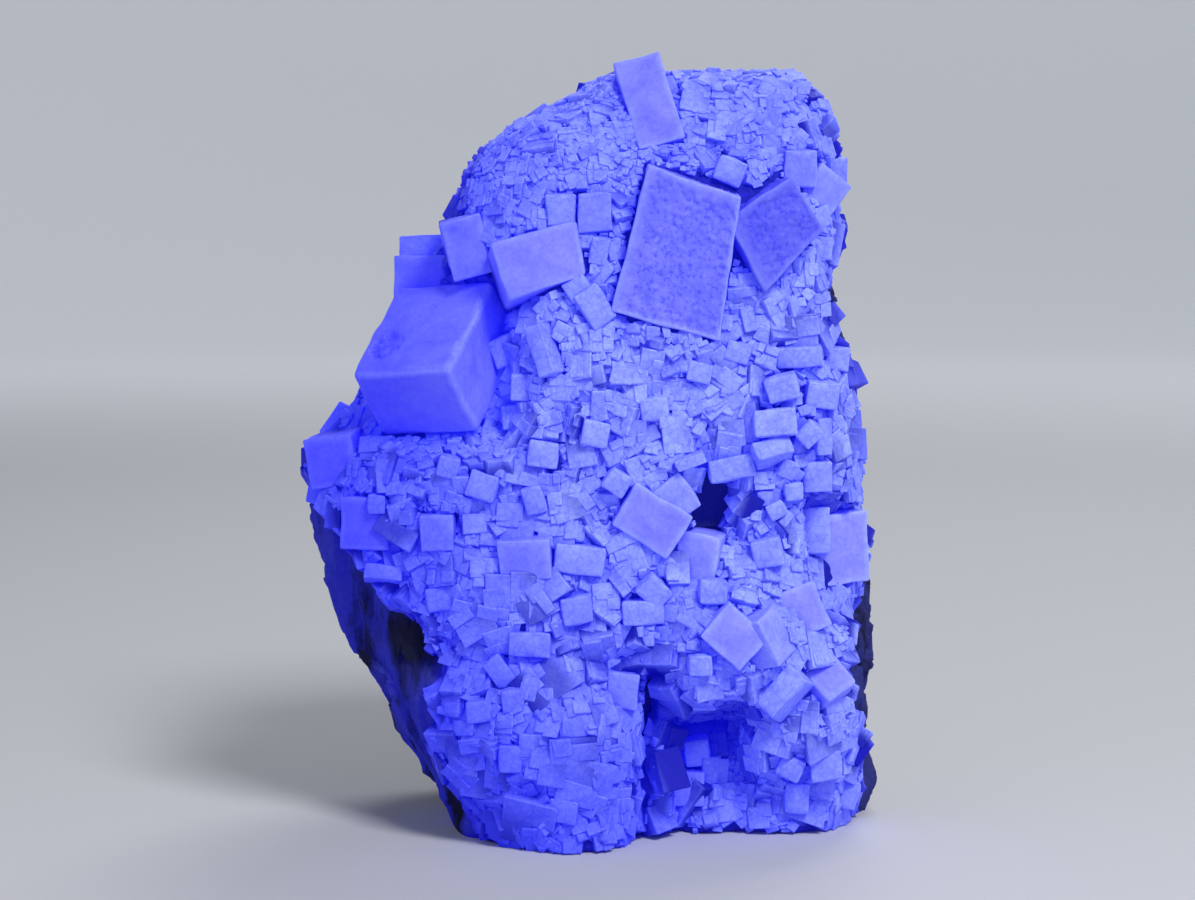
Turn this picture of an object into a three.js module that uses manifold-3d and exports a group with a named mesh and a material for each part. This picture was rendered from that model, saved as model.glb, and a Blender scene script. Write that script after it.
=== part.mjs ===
// A cabinet specimen of fluorite: a block of layered host rock whose front, top and flanks carry
// a crust of intergrown fluorite cubes. Two solids: the rock, and the crust with its crystals.
// Millimetres. +Z is up, -Y is the crystal face, and the origin is the middle of the base.
import * as THREE from 'three';
import { mergeVertices } from 'three/addons/utils/BufferGeometryUtils.js';
import Module from 'manifold-3d';

const wasm = await Module();
wasm.setup();

// ---------------------------------------------------------------- driving dimensions

// Outline of the block, as [height, place] pairs: the x of its left and right edges, and the y of
// the middle of its front and back.
const LEFT_EDGE = [
  [0, -34], [13, -43], [19, -49], [34, -54.5], [45, -59.5], [61, -65], [80, -64.5], [97, -54],
  [120, -38], [144, -32], [152, -28], [158, -21], [164, -9], [170.5, 4],
];
const RIGHT_EDGE = [
  [0, 63], [8, 65], [27, 64], [63, 62.5], [80, 59.5], [103, 58], [129, 56], [157, 54], [167, 50], [170.5, 46],
];
const FRONT_MIDDLE = [
  [0, -35], [12, -33], [60, -30], [100, -28], [130, -24], [150, -18], [161, -11], [167, -6], [170.5, 0],
];
const BACK_MIDDLE = [
  [0, 40], [20, 45], [60, 47], [100, 43], [130, 38], [150, 32], [161, 27], [167, 23], [170.5, 17],
];
const SIDE_Y = 8; // y of the widest line of every section
const SQUARENESS = 3; // exponent of the superellipse sections
const CREST_Z = 170.5; // height of the last section
const CREST_RISE = 0.6; // how far the middle of the crest stands above it
const SHIFT = { x: -0.2, y: 3.8 }; // middle of the outline, taken off so that the base is centred

// Crust.
const CRUST_THICKNESS = 5;
const CRUST_FOOT_Z = 0.5; // lowest edge of the crust
const GAP = 0.3; // clearance between the crust and the rock
// Directions, in degrees round the block from the right (0) over the front (90) to the left (180),
// at which the crust ends, by height.
const CRUST_RIGHT_END = [
  [0, 24], [8, 30], [45, 32], [55, 20], [70, 4], [85, -2], [104, -4], [112, 26], [128, 27], [137, -8], [170, -24],
];
const CRUST_LEFT_END = [
  [0, 146], [20, 134], [33, 133], [41, 126], [50, 126], [58, 137], [63, 148], [73, 151], [80, 168], [90, 186],
  [110, 192], [170, 204],
];

// Mesh of the two lofts.
const COLUMNS = 44;
const ROWS = 24;

// Big crystals. Each row: x and z of the middle of the front face, width, height, depth, then roll,
// pitch and yaw in degrees, and how far the front face stands out of the crust.
const CRYSTALS = {
  great_cube: [-39, 115, 25, 30, 24, -6.5, -51, -31, 16],
  step_block: [-40.5, 125.5, 12, 9.5, 15, -1, -5, 0, 7.5],
  rear_block: [-39, 132, 14, 6, 10, -2, -20, 0, -2],
  shoulder_tile: [-29, 132.5, 9.5, 13.5, 12, -14.5, 0, 0, 3],
  hood_block: [-12, 131, 20.5, 11, 17, -16, -33, 4.5, 5],
  frosted_plate: [18, 131.5, 23.5, 33, 14, 13, 2.5, -1, 5],
  leaning_plate: [39.5, 137, 18.5, 16.5, 13, -35.5, -2, 14, 6.5],
  crown_blade: [11.5, 165.5, 10.5, 23, 12, -17, -30, -8, 3],
  crown_chip: [16, 168, 4, 5.5, 8, -20, 0, 0, 1],
  crown_tile: [45.5, 150, 7.5, 8, 8, 2, 0, 5, 1.5],
  crown_corner: [51.5, 145.5, 8.5, 9, 9, -51, 0, 20, 2],
  crown_rim: [54.5, 149.5, 6, 6, 6, 0, 0, 30, 2],
  plate_neighbour: [29.5, 149.5, 6.5, 5.5, 6, 22, 0, 0, 1.5],
  hood_twin_left: [-8, 141, 6.5, 7, 7, -2, 0, 0, 2],
  hood_twin_right: [-0.5, 140.5, 7.5, 8.5, 8, -2, 0, 0, 2],
  hood_wedge: [-0.5, 120, 6, 9, 7, -32, 0, 0, 2],
  hood_chip: [-4.5, 124, 5.5, 5, 5, -34, 0, 0, 1.5],
  hood_side: [0.5, 132, 4, 6, 5, 11, 0, 0, 1.5],
  ledge_cube: [-58.5, 84.5, 11.5, 11.5, 11, -9, 0, -10, 3],
  ledge_wedge: [-59, 91, 9, 6.5, 8, -63, -20, -20, 3],
  ledge_chip: [-62, 76.5, 4.5, 4.5, 5, 13, 0, -30, 1],
  waist_lump: [-52, 71.5, 11, 11.5, 11, -1, 0, -15, 2],
  waist_tile: [-35.5, 70, 7.5, 8, 8, -3, 0, 0, 2],
  waist_chip: [-49, 76, 4, 4, 5, 0, 0, 0, 3],
  waist_strip: [-47.5, 61, 8.5, 3.5, 6, 5, -15, 0, 2],
  middle_block: [-16, 64.5, 11.5, 9, 10, -4, 0, 0, 3],
  middle_twin: [-4, 64.5, 11, 6.5, 9, 7, 0, 0, 2],
  middle_rhomb: [12, 73, 14.5, 11, 9, 32, 0, 0, 2.5],
  rhomb_rider: [19, 77.5, 5.5, 7.5, 7, -36, 0, 0, 3.5],
  rhomb_crest: [20.5, 86, 6.5, 2.5, 6, -23, 0, 0, 4.5],
  rhomb_side: [4.5, 81.5, 5.5, 5, 6, 35, 0, 0, 2.5],
  hollow_cube: [22.5, 65.5, 7.5, 9, 8, 7, 0, -15, -1],
  shield: [30, 48.5, 10, 11.5, 11, -49, 0, 0, 4],
  shield_prism: [39.5, 48.5, 8, 11.5, 9, -21, -14, 49, 4],
  corner_block: [49.5, 40.5, 13.5, 9, 10, 60, -37, 18, 0],
  corner_cap: [45, 52.5, 8.5, 8.5, 8, -19, -15, 10, 2],
  lower_prism: [40, 36, 5.5, 11.5, 8, 38, -20, -20, 4],
  wall_face: [54, 64, 16.5, 16.5, 14, -3, 0, 20, 1],
  wall_step: [49.5, 69, 6, 10.5, 8, -1, 0, 5, 2.5],
  brow_block: [29.5, 84.5, 10, 5, 8, -10, -10, 0, 3.5],
  brow_wedge: [38.5, 89.5, 8.5, 4.5, 8, -17, -25, 0, 4],
  stack_low: [39, 95, 9, 6, 7, -4, -10, 0, 4],
  stack_high: [40.5, 102, 7, 5.5, 6, -15, 0, 0, 3.5],
  stack_side: [50, 100, 7.5, 6, 7, 8, 0, 10, 3],
  column_tile: [46.5, 92, 5, 4.5, 5, -44, 0, 0, 4],
  column_side: [50.5, 91, 3.5, 8, 6, -1, 0, 20, 2],
  column_foot: [49, 82, 6.5, 7, 7, -1, 0, 10, 2.5],
  column_chip: [43.5, 79, 4, 4, 5, -3, 0, 0, 3],
  edge_leaf: [57.5, 84.5, 4, 7.5, 6, 6, 0, 40, -3],
  pillar_tile: [37.5, 65.5, 6.5, 6, 6, -13, 0, 0, 3],
  pillar_chip: [39.5, 75, 4, 3.5, 5, -29, 0, 0, 3],
  brow_tile: [44.5, 108.5, 10.5, 4.5, 7, -5, 0, 0, 2],
  brow_edge: [54, 107.5, 6.5, 5.5, 6, 5, 0, 25, 1],
  ridge_block: [-13, 110.5, 4, 11.5, 8, -22, 0, -25, 4.5],
  ridge_tile: [-20.5, 109.5, 7, 6.5, 7, -22, 0, 0, 3.5],
  ridge_foot: [-16, 102, 6, 6, 6, 1, 0, 0, 2],
  apron_left: [10, 53, 9, 5.5, 7, -3, 0, 0, 1.5],
  apron_middle: [12.5, 57.5, 6.5, 5.5, 6, 46, 0, 0, 2.5],
  apron_right: [25.5, 57.5, 6, 5.5, 6, 2, 0, 0, 3],
  apron_low: [22.5, 42, 5, 4.5, 5, 0, 0, 0, 3],
  lobe_top: [-21.5, 39.5, 4.5, 7.5, 6, -39, 0, 0, 1.5],
  lobe_upper: [-18.5, 34, 5, 5, 5, -3, 0, 0, 1.5],
  lobe_left: [-26, 31.5, 5.5, 5, 5, -5, 0, 0, 1.5],
  lobe_middle: [-19, 21.5, 5, 6, 6, 0, 0, 0, 1.5],
  lobe_right: [5.5, 35.5, 7, 8, 7, 6, 0, 0, 1.5],
  lobe_low: [-7.5, 10, 6.5, 5, 6, 8, 0, 0, 1.5],
  lobe_brow: [-15, 46, 9, 5.5, 7, 2, 0, 0, 1.5],
  foot_tile: [21.5, 17.5, 5.5, 6, 6, -7, 0, 0, 2],
  foot_block: [19, 10, 9.5, 7.5, 9, 0, 0, 0, 2],
  foot_upper: [43, 17, 5.5, 5, 5, 25, 0, 0, 2],
  foot_right: [51, 17, 7, 6.5, 7, -9, 0, 0, 2],
  foot_low: [45, 9, 5.5, 7, 7, 2, 0, 0, 2],
  foot_corner: [56.5, 8, 6, 6.5, 6, 13, 0, 0, 2],
};

// Small crystals strewn over what the big ones leave free.
const STREWN = { count: 62, tries: 4000, seed: 11, least: 4, most: 7, sunk: 0.55 };

// Cleft between the two feet of the block, and the hollow above it, as outlines seen from the front.
const CLEFT = [[9.4, -2], [13, -2], [12.6, 22], [14.6, 36], [17.5, 41], [11.5, 42.5], [10, 34], [9.2, 20]];
const CLEFT_FLOOR_Y = 2;
const HOLLOW = [[21.5, 81], [29.5, 77.5], [28.5, 71.5], [24.5, 68], [21, 69], [23.5, 75]];
const HOLLOW_FLOOR_Y = -8;
// What is taken off below: the crust stays clear of the ground, and higher under the right foot.
const UNDERCUT = [[-80, -8], [80, -8], [80, 3.2], [19, 3.2], [15, CRUST_FOOT_Z], [-80, CRUST_FOOT_Z]];
const UNDERCUT_FLOOR_Y = 60;

// Finishes.
const FLUORITE = { color: 0x6d72f6, roughness: 0.45, metalness: 0 };
const ROCK = { color: 0x1c2078, roughness: 0.9, metalness: 0 };

// ---------------------------------------------------------------- small mathematics

const DEGREE = Math.PI / 180;

function smoothstep(from, to, value) {
  const t = Math.min(1, Math.max(0, (value - from) / (to - from)));
  return t * t * (3 - 2 * t);
}

function blend(a, b, share) {
  return a + (b - a) * share;
}

// A smooth curve through [height, place] pairs, flat beyond both ends.
function alongHeight(pairs, z) {
  const last = pairs.length - 1;
  const height = Math.min(pairs[last][0], Math.max(pairs[0][0], z));
  let i = 0;
  while (i < last - 1 && height > pairs[i + 1][0]) i += 1;
  const slopeAt = (k) => {
    const before = pairs[Math.max(0, k - 1)];
    const after = pairs[Math.min(last, k + 1)];
    return (after[1] - before[1]) / (after[0] - before[0]);
  };
  const span = pairs[i + 1][0] - pairs[i][0];
  const t = (height - pairs[i][0]) / span;
  const rise = t * t * (3 - 2 * t);
  return blend(pairs[i][1], pairs[i + 1][1], rise)
    + span * t * (1 - t) * ((1 - t) * slopeAt(i) - t * slopeAt(i + 1));
}

// A soft round swelling of a given height at (cx, cz).
function swelling(x, z, cx, cz, radiusX, radiusZ, height) {
  return height * Math.exp(-(((x - cx) / radiusX) ** 2) - ((z - cz) / radiusZ) ** 2);
}

// A repeatable stream of numbers from 0 to 1.
function numberStream(seed) {
  let state = seed;
  return () => {
    state = (state + 0x6d2b79f5) | 0;
    let t = Math.imul(state ^ (state >>> 15), 1 | state);
    t = (t + Math.imul(t ^ (t >>> 7), 61 | t)) ^ t;
    return ((t ^ (t >>> 14)) >>> 0) / 4294967296;
  };
}

// ---------------------------------------------------------------- surface of the block

// How far the front lies behind its plain outline: negative is a bulge, positive a recess.
function frontRelief(x, z) {
  const leftFoot = swelling(x, z, -14, 22, 24, 30, -8);
  const rightFootRecess = 15 * smoothstep(13, 19, x) * (1 - smoothstep(23, 30, z));
  const rightFootCave = swelling(x, z, 25, 26, 12, 6, 10);
  const rightFootLobe = swelling(x, z, 50, 15, 12, 15, -8);
  const cleftValley = (5 + 9 * (1 - smoothstep(4, 22, z))) * Math.exp(-(((x - 11) / 6) ** 2))
    * (1 - smoothstep(32, 44, z));
  const shieldBulge = swelling(x, z, 32, 45, 20, 13, -6);
  const hollowDish = swelling(x, z, 26, 76, 8, 9, 4);
  const wallRecess = 8 * smoothstep(43, 48, x) * smoothstep(44, 50, z) * (1 - smoothstep(74, 80, z));
  const rightLedge = swelling(x, z, 47, 92, 13, 13, -5);
  const waistCrease = 3 * Math.exp(-(((z - 41) / 5) ** 2))
    * smoothstep(-44, -34, x) * (1 - smoothstep(4, 12, x));
  const cubeBay = 10 * (1 - smoothstep(-21, -13, x)) * smoothstep(84, 93, z) * (1 - smoothstep(119, 132, z));
  const cubeNook = swelling(x, z, -25, 124, 7, 6, 5);
  return cubeBay + cubeNook + leftFoot + rightFootRecess + rightFootCave + rightFootLobe + cleftValley + shieldBulge
    + hollowDish + wallRecess + rightLedge + waistCrease;
}

// The plain section at a height: its centre, half width and depths to the front and back.
function sectionAt(z) {
  const left = alongHeight(LEFT_EDGE, z);
  const right = alongHeight(RIGHT_EDGE, z);
  return {
    centre: (left + right) / 2,
    halfWidth: (right - left) / 2,
    front: SIDE_Y - alongHeight(FRONT_MIDDLE, z),
    back: alongHeight(BACK_MIDDLE, z) - SIDE_Y,
  };
}

// A point of the block's surface, in a direction round it, pushed out by an offset.
function surfacePoint(direction, z, offset) {
  const section = sectionAt(z);
  const c = Math.cos(direction);
  const s = Math.sin(direction);
  const power = SQUARENESS;
  const reach = (Math.abs(c) ** power + Math.abs(s) ** power) ** (-1 / power);
  const across = reach * c;
  const forward = reach * s;
  const depth = s > 0 ? section.front : section.back;
  const x = section.centre + section.halfWidth * across;
  let y = SIDE_Y - depth * forward;
  if (s > 0) y += frontRelief(x, z) * smoothstep(0, 0.5, forward);
  const outX = Math.sign(across) * Math.abs(across) ** (power - 1) / section.halfWidth;
  const outY = -Math.sign(forward) * Math.abs(forward) ** (power - 1) / depth;
  const length = Math.hypot(outX, outY);
  return new THREE.Vector3(x + offset * outX / length, y + offset * outY / length, z);
}

// The y of the block's front at a place seen from the front.
function frontY(x, z) {
  const section = sectionAt(z);
  const across = Math.min(1, Math.abs((x - section.centre) / section.halfWidth));
  const forward = (1 - across ** SQUARENESS) ** (1 / SQUARENESS);
  return SIDE_Y - section.front * forward + frontRelief(x, z) * smoothstep(0, 0.5, forward);
}

// How far inside the crust's two ends a direction lies, in degrees.
function insideCrust(direction, z) {
  const degrees = direction / DEGREE;
  const wander = 2.5 * Math.sin(0.21 * z + 0.8) + 1.5 * Math.sin(0.53 * z);
  const rightEnd = alongHeight(CRUST_RIGHT_END, z) + wander;
  const leftEnd = alongHeight(CRUST_LEFT_END, z) - wander;
  const turned = degrees > 270 ? degrees - 360 : degrees;
  return Math.min(turned - rightEnd, leftEnd - turned);
}

// Lumps and slanting layers of the bare rock.
function rockRelief(x, y, z) {
  const layers = Math.sin(0.62 * x + 0.34 * y + 0.25 * z);
  const lumps = Math.sin(0.11 * x + 0.6) * Math.sin(0.09 * y - 0.13 * z + 1.9);
  const chips = Math.sin(0.33 * x - 0.29 * y + 0.2) * Math.sin(0.31 * z + 0.17 * y);
  return 1.1 * layers + 2.2 * lumps + chips - 1.5;
}

// Thickness of crust over the rock: deeper where the cleft and the hollow are cut into it.
function crustThickness(x, z) {
  const atCleft = 10 * Math.exp(-(((x - 12) / 7) ** 2)) * (1 - smoothstep(38, 50, z));
  const atHollow = swelling(x, z, 25.5, 75, 8, 9, 9);
  return CRUST_THICKNESS + atCleft + atHollow;
}

// ---------------------------------------------------------------- solids

// A closed loft: rings of points from the bottom up, with a fan at each end.
function loft(heights, pointAt) {
  const positions = [];
  const indices = [];
  heights.forEach((z) => {
    for (let column = 0; column < COLUMNS; column += 1) {
      positions.push(...pointAt((column / COLUMNS) * 2 * Math.PI, z).toArray());
    }
  });
  for (let row = 0; row < heights.length - 1; row += 1) {
    for (let column = 0; column < COLUMNS; column += 1) {
      const next = (column + 1) % COLUMNS;
      const [a, b] = [row * COLUMNS + column, row * COLUMNS + next];
      const [c, d] = [a + COLUMNS, b + COLUMNS];
      indices.push(a, c, b, b, c, d);
    }
  }
  [0, heights.length - 1].forEach((row) => {
    const middle = new THREE.Vector3();
    for (let column = 0; column < COLUMNS; column += 1) {
      middle.add(new THREE.Vector3().fromArray(positions, (row * COLUMNS + column) * 3));
    }
    middle.divideScalar(COLUMNS);
    if (row > 0) middle.z += CREST_RISE;
    const hub = positions.length / 3;
    positions.push(...middle.toArray());
    for (let column = 0; column < COLUMNS; column += 1) {
      const rim = [row * COLUMNS + column, row * COLUMNS + ((column + 1) % COLUMNS)];
      if (row === 0) indices.push(hub, rim[0], rim[1]);
      else indices.push(hub, rim[1], rim[0]);
    }
  });
  const geometry = new THREE.BufferGeometry();
  geometry.setAttribute('position', new THREE.Float32BufferAttribute(positions, 3));
  geometry.setIndex(indices);
  return geometry;
}

function solidFrom(geometry) {
  const bare = geometry.clone();
  bare.deleteAttribute('normal');
  bare.deleteAttribute('uv');
  const merged = mergeVertices(bare, 1e-4);
  return new wasm.Manifold(new wasm.Mesh({
    numProp: 3,
    vertProperties: merged.attributes.position.array,
    triVerts: new Uint32Array(merged.index.array),
  }));
}

function geometryFrom(solid) {
  const mesh = solid.getMesh();
  const geometry = new THREE.BufferGeometry();
  geometry.setAttribute('position', new THREE.BufferAttribute(mesh.vertProperties, 3));
  geometry.setIndex(new THREE.BufferAttribute(mesh.triVerts, 1));
  geometry.translate(-SHIFT.x, -SHIFT.y, 0);
  const flat = geometry.toNonIndexed();
  flat.computeVertexNormals();
  return flat;
}

// Heights from one level to another, evenly spread.
function levels(bottom, top, count) {
  return Array.from({ length: count }, (_, i) => blend(bottom, top, i / (count - 1)));
}

// The rock, grown by a clearance. Under the crust it lies deeper by the crust's thickness. Grown, it
// also reaches below the base, so that it cuts right through what it is taken from.
function rockLoft(clearance) {
  const heights = levels(0, CREST_Z, ROWS);
  if (clearance > 0) heights.unshift(-4);
  return loft(heights, (direction, z) => {
    const plain = surfacePoint(direction, z, 0);
    const under = smoothstep(-2, 8, insideCrust(direction, z));
    const bare = rockRelief(plain.x, plain.y, z);
    const atCrest = smoothstep(120, CREST_Z, z);
    const inset = crustThickness(plain.x, z) * (1 - 0.5 * atCrest);
    const point = surfacePoint(direction, z, blend(bare, -inset, under) + clearance);
    point.z -= (CRUST_THICKNESS - clearance) * atCrest;
    return point;
  });
}

// The crust before the rock is cut out of it. Past its ends it dives below the rock's surface.
function crustLoft() {
  return loft(levels(CRUST_FOOT_Z, CREST_Z, ROWS), (direction, z) => {
    const cover = smoothstep(-1.5, 4, insideCrust(direction, z));
    return surfacePoint(direction, z, blend(-9, 0, cover));
  });
}

// A crystal: a box whose front face is centred at the origin, turned and then placed.
function crystalSolid(width, height, depth, quaternion, place) {
  const box = new THREE.BoxGeometry(width, depth, height);
  box.translate(0, depth / 2, 0);
  box.applyQuaternion(quaternion);
  box.translate(place.x, place.y, place.z);
  return solidFrom(box);
}

function bigCrystals() {
  return Object.values(CRYSTALS).map(([x, z, width, height, depth, roll, pitch, yaw, proud]) => {
    const turn = new THREE.Euler(pitch * DEGREE, roll * DEGREE, yaw * DEGREE, 'ZXY');
    const place = new THREE.Vector3(x, frontY(x, z) - proud, z);
    return crystalSolid(width, height, depth, new THREE.Quaternion().setFromEuler(turn), place);
  });
}

// Outward direction of the crust at a place on it.
function outward(direction, z) {
  const step = 0.02;
  const along = surfacePoint(direction + step, z, 0).sub(surfacePoint(direction - step, z, 0));
  const up = surfacePoint(direction, z + 1, 0).sub(surfacePoint(direction, z - 1, 0));
  return up.cross(along).normalize();
}

// Small crystals, strewn where the big ones and each other leave room.
function strewnCrystals() {
  const next = numberStream(STREWN.seed);
  const taken = Object.values(CRYSTALS).map(([x, z, width, height, , , , , proud]) => ({
    place: new THREE.Vector3(x, frontY(x, z) - proud, z),
    radius: Math.max(width, height) * 0.55,
  }));
  const solids = [];
  for (let i = 0; i < STREWN.tries && solids.length < STREWN.count; i += 1) {
    const direction = blend(-30, 210, next()) * DEGREE;
    const z = blend(3, CREST_Z - 2, next());
    const size = blend(STREWN.least, STREWN.most, next() ** 2);
    const tilt = new THREE.Euler(blend(-0.4, 0.4, next()), blend(0, 1.57, next()), blend(-0.4, 0.4, next()));
    const flatness = blend(0.75, 1.2, next());
    const place = surfacePoint(direction, z, 0);
    const radius = size * 0.6;
    const clear = taken.every((other) => other.place.distanceTo(place) > other.radius + radius);
    if (!clear || insideCrust(direction, z) < 4) continue;
    taken.push({ place, radius });
    const out = outward(direction, z);
    const turn = new THREE.Quaternion().setFromUnitVectors(new THREE.Vector3(0, -1, 0), out);
    turn.multiply(new THREE.Quaternion().setFromEuler(tilt));
    const corner = place.clone().addScaledVector(out, size * (1 - STREWN.sunk));
    solids.push(crystalSolid(size, size * flatness, size, turn, corner));
  }
  return solids;
}

// A cutter: an outline seen from the front, carried forward out of the block from a floor.
function frontCutter(outline, floorY) {
  const reach = 140;
  const shape = new THREE.Shape(outline.map(([x, z]) => new THREE.Vector2(x, z)));
  const prism = new THREE.ExtrudeGeometry(shape, { depth: reach, bevelEnabled: false });
  prism.rotateX(Math.PI / 2);
  prism.translate(0, floorY, 0);
  return solidFrom(prism);
}

// The largest connected body of a solid.
function mainBody(solid) {
  return solid.decompose().reduce((best, body) => (body.volume() > best.volume() ? body : best));
}

// ---------------------------------------------------------------- specimen

const rock = solidFrom(rockLoft(0));
const rockWithGap = solidFrom(rockLoft(GAP));
const cubes = wasm.Manifold.union([...bigCrystals(), ...strewnCrystals()]);
const crust = mainBody(
  solidFrom(crustLoft())
    .add(cubes)
    .subtract(frontCutter(CLEFT, CLEFT_FLOOR_Y))
    .subtract(frontCutter(HOLLOW, HOLLOW_FLOOR_Y))
    .subtract(frontCutter(UNDERCUT, UNDERCUT_FLOOR_Y))
    .subtract(rockWithGap),
);

function namedMesh(name, solid, finish) {
  const mesh = new THREE.Mesh(geometryFrom(solid), new THREE.MeshStandardMaterial(finish));
  mesh.name = name;
  return mesh;
}

const specimen = new THREE.Group();
specimen.name = 'fluorite_specimen';
specimen.add(namedMesh('host_rock', rock, ROCK));
specimen.add(namedMesh('fluorite_crust', crust, FLUORITE));

export default specimen;
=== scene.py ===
"""A cabinet specimen of fluorite: a crust of intergrown blue cubes over a block of dark layered rock.

Shapes are worked out in millimetres, with +Z up and the crystal face towards -Y, and are put into
Blender in metres. Every piece is a set of numpy arrays before it becomes a mesh.
"""
import itertools
import logging
import math
from collections.abc import Callable
from dataclasses import dataclass, field
from enum import Enum

import bpy
import numpy as np
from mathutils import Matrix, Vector


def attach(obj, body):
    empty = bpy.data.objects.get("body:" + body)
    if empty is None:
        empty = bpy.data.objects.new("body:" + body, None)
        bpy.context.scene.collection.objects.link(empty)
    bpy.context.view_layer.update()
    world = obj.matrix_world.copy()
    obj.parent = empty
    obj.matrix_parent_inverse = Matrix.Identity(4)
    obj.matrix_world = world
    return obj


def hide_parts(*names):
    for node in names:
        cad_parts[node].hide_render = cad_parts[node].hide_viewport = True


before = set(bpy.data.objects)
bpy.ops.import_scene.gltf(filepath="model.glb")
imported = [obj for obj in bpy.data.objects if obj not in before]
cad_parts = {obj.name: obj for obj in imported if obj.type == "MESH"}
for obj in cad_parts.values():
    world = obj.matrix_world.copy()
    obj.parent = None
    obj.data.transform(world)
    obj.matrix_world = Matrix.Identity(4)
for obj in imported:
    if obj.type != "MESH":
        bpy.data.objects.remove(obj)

Array = np.ndarray
Numbers = np.ndarray | float
Pairs = tuple[tuple[float, float], ...]
Colour = tuple[float, float, float]
Socket = bpy.types.NodeSocket
Value = bpy.types.NodeSocket | float
Node = bpy.types.Node
Material = bpy.types.Material

MILLIMETRE = 0.001
SHIFT = np.array([0.2, -3.8, 0.0])  # from the outline's own place to the middle of the base, in mm
BODY = "root"

log = logging.getLogger("fluorite_specimen")


# ---------------------------------------------------------------- small mathematics


def smoothstep(start: Numbers, end: float, value: Numbers) -> Array:
    """Rise from 0 at start to 1 at end along t * t * (3 - 2 * t), flat beyond both.

    Args:
        start: value at which the rise begins.
        end: value at which it is complete.
        value: where to read it.

    Returns:
        The share, from 0 to 1.
    """
    t = np.clip((np.asarray(value, float) - start) / (end - start), 0.0, 1.0)
    return t * t * (3.0 - 2.0 * t)


def blend(first: Numbers, second: Numbers, share: Numbers) -> Array:
    """Go in a straight line from the first value (share 0) to the second (share 1)."""
    return first + (second - first) * share


def along_height(pairs: Pairs, height: Numbers) -> Array:
    """Read a smooth curve through [height, place] pairs, flat beyond both ends.

    Between two pairs it is a cubic, and its slope at a pair is that of the straight line between the
    pairs on either side of it.

    Args:
        pairs: heights in rising order, each with its place.
        height: heights to read.

    Returns:
        The places at those heights.
    """
    heights, places = np.array(pairs, float).T
    number = np.arange(len(heights))
    before = np.maximum(number - 1, 0)
    after = np.minimum(number + 1, len(heights) - 1)
    slopes = (places[after] - places[before]) / (heights[after] - heights[before])
    level = np.clip(height, heights[0], heights[-1])
    low = np.clip(np.searchsorted(heights, level, side="left") - 1, 0, len(heights) - 2)
    span = heights[low + 1] - heights[low]
    t = (level - heights[low]) / span
    bend = span * t * (1 - t) * ((1 - t) * slopes[low] - t * slopes[low + 1])
    return blend(places[low], places[low + 1], t * t * (3 - 2 * t)) + bend


def window(rise: tuple[float, float], fall: tuple[float, float], value: Numbers) -> Array:
    """1 between two places, 0 beyond them: it rises over the first pair and falls over the second."""
    return smoothstep(*rise, value) * (1 - smoothstep(*fall, value))


def unit(vectors: Array) -> Array:
    """Scale vectors along the last axis to length 1."""
    return vectors / np.maximum(np.linalg.norm(vectors, axis=-1, keepdims=True), 1e-9)


def lattice_number(place: Array, seed: int) -> Array:
    """A number from -1 to 1 for each corner of a lattice, mixed from its whole coordinates and the seed.

    Args:
        place: the corners, with their whole coordinates along the last axis.
        seed: picks one pattern.

    Returns:
        One number for each corner.
    """
    x, y, z = np.moveaxis(place, -1, 0)
    mixed = x * 73856093 ^ y * 19349663 ^ z * 83492791 ^ seed * 2971215073
    mixed = (mixed ^ (mixed >> 13)) * 1274126177 & 0xFFFFFFFF
    mixed = (mixed ^ (mixed >> 16)) * 2246822519 & 0xFFFFFFFF
    return (mixed ^ (mixed >> 15)) / 2**31 - 1.0


def lattice_noise(points: Array, cell: float, seed: int) -> Array:
    """Smooth noise from -1 to 1.

    A point takes the numbers of the eight lattice corners round it, each weighted by an eased share
    along every axis.

    Args:
        points: places, with x, y and z along the last axis, in mm.
        cell: edge of a lattice cube, in mm.
        seed: picks one pattern.

    Returns:
        One number for each point.
    """
    scaled = np.asarray(points, float) / cell
    corner = np.floor(scaled).astype(np.int64)
    ease = smoothstep(0.0, 1.0, scaled - corner)
    total = np.zeros(scaled.shape[:-1])
    for step in itertools.product((0, 1), repeat=3):
        weight = np.prod(np.where(np.array(step) == 1, ease, 1.0 - ease), axis=-1)
        total += weight * lattice_number(corner + np.array(step), seed)
    return total


def layered_noise(points: Array, cell: float, seed: int, layers: int = 3) -> Array:
    """Add lattice noises of halving cell and halving strength."""
    return sum(lattice_noise(points, cell / 2**i, seed + i) / 2**i for i in range(layers))


def uneven(points: Array, cell: float, seed: int) -> Array:
    """Small moves of points along x, y and z, each from -1 to 1: a smooth noise of its own per axis."""
    return np.stack([lattice_noise(points, cell, seed + i) for i in range(3)], -1)


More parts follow.
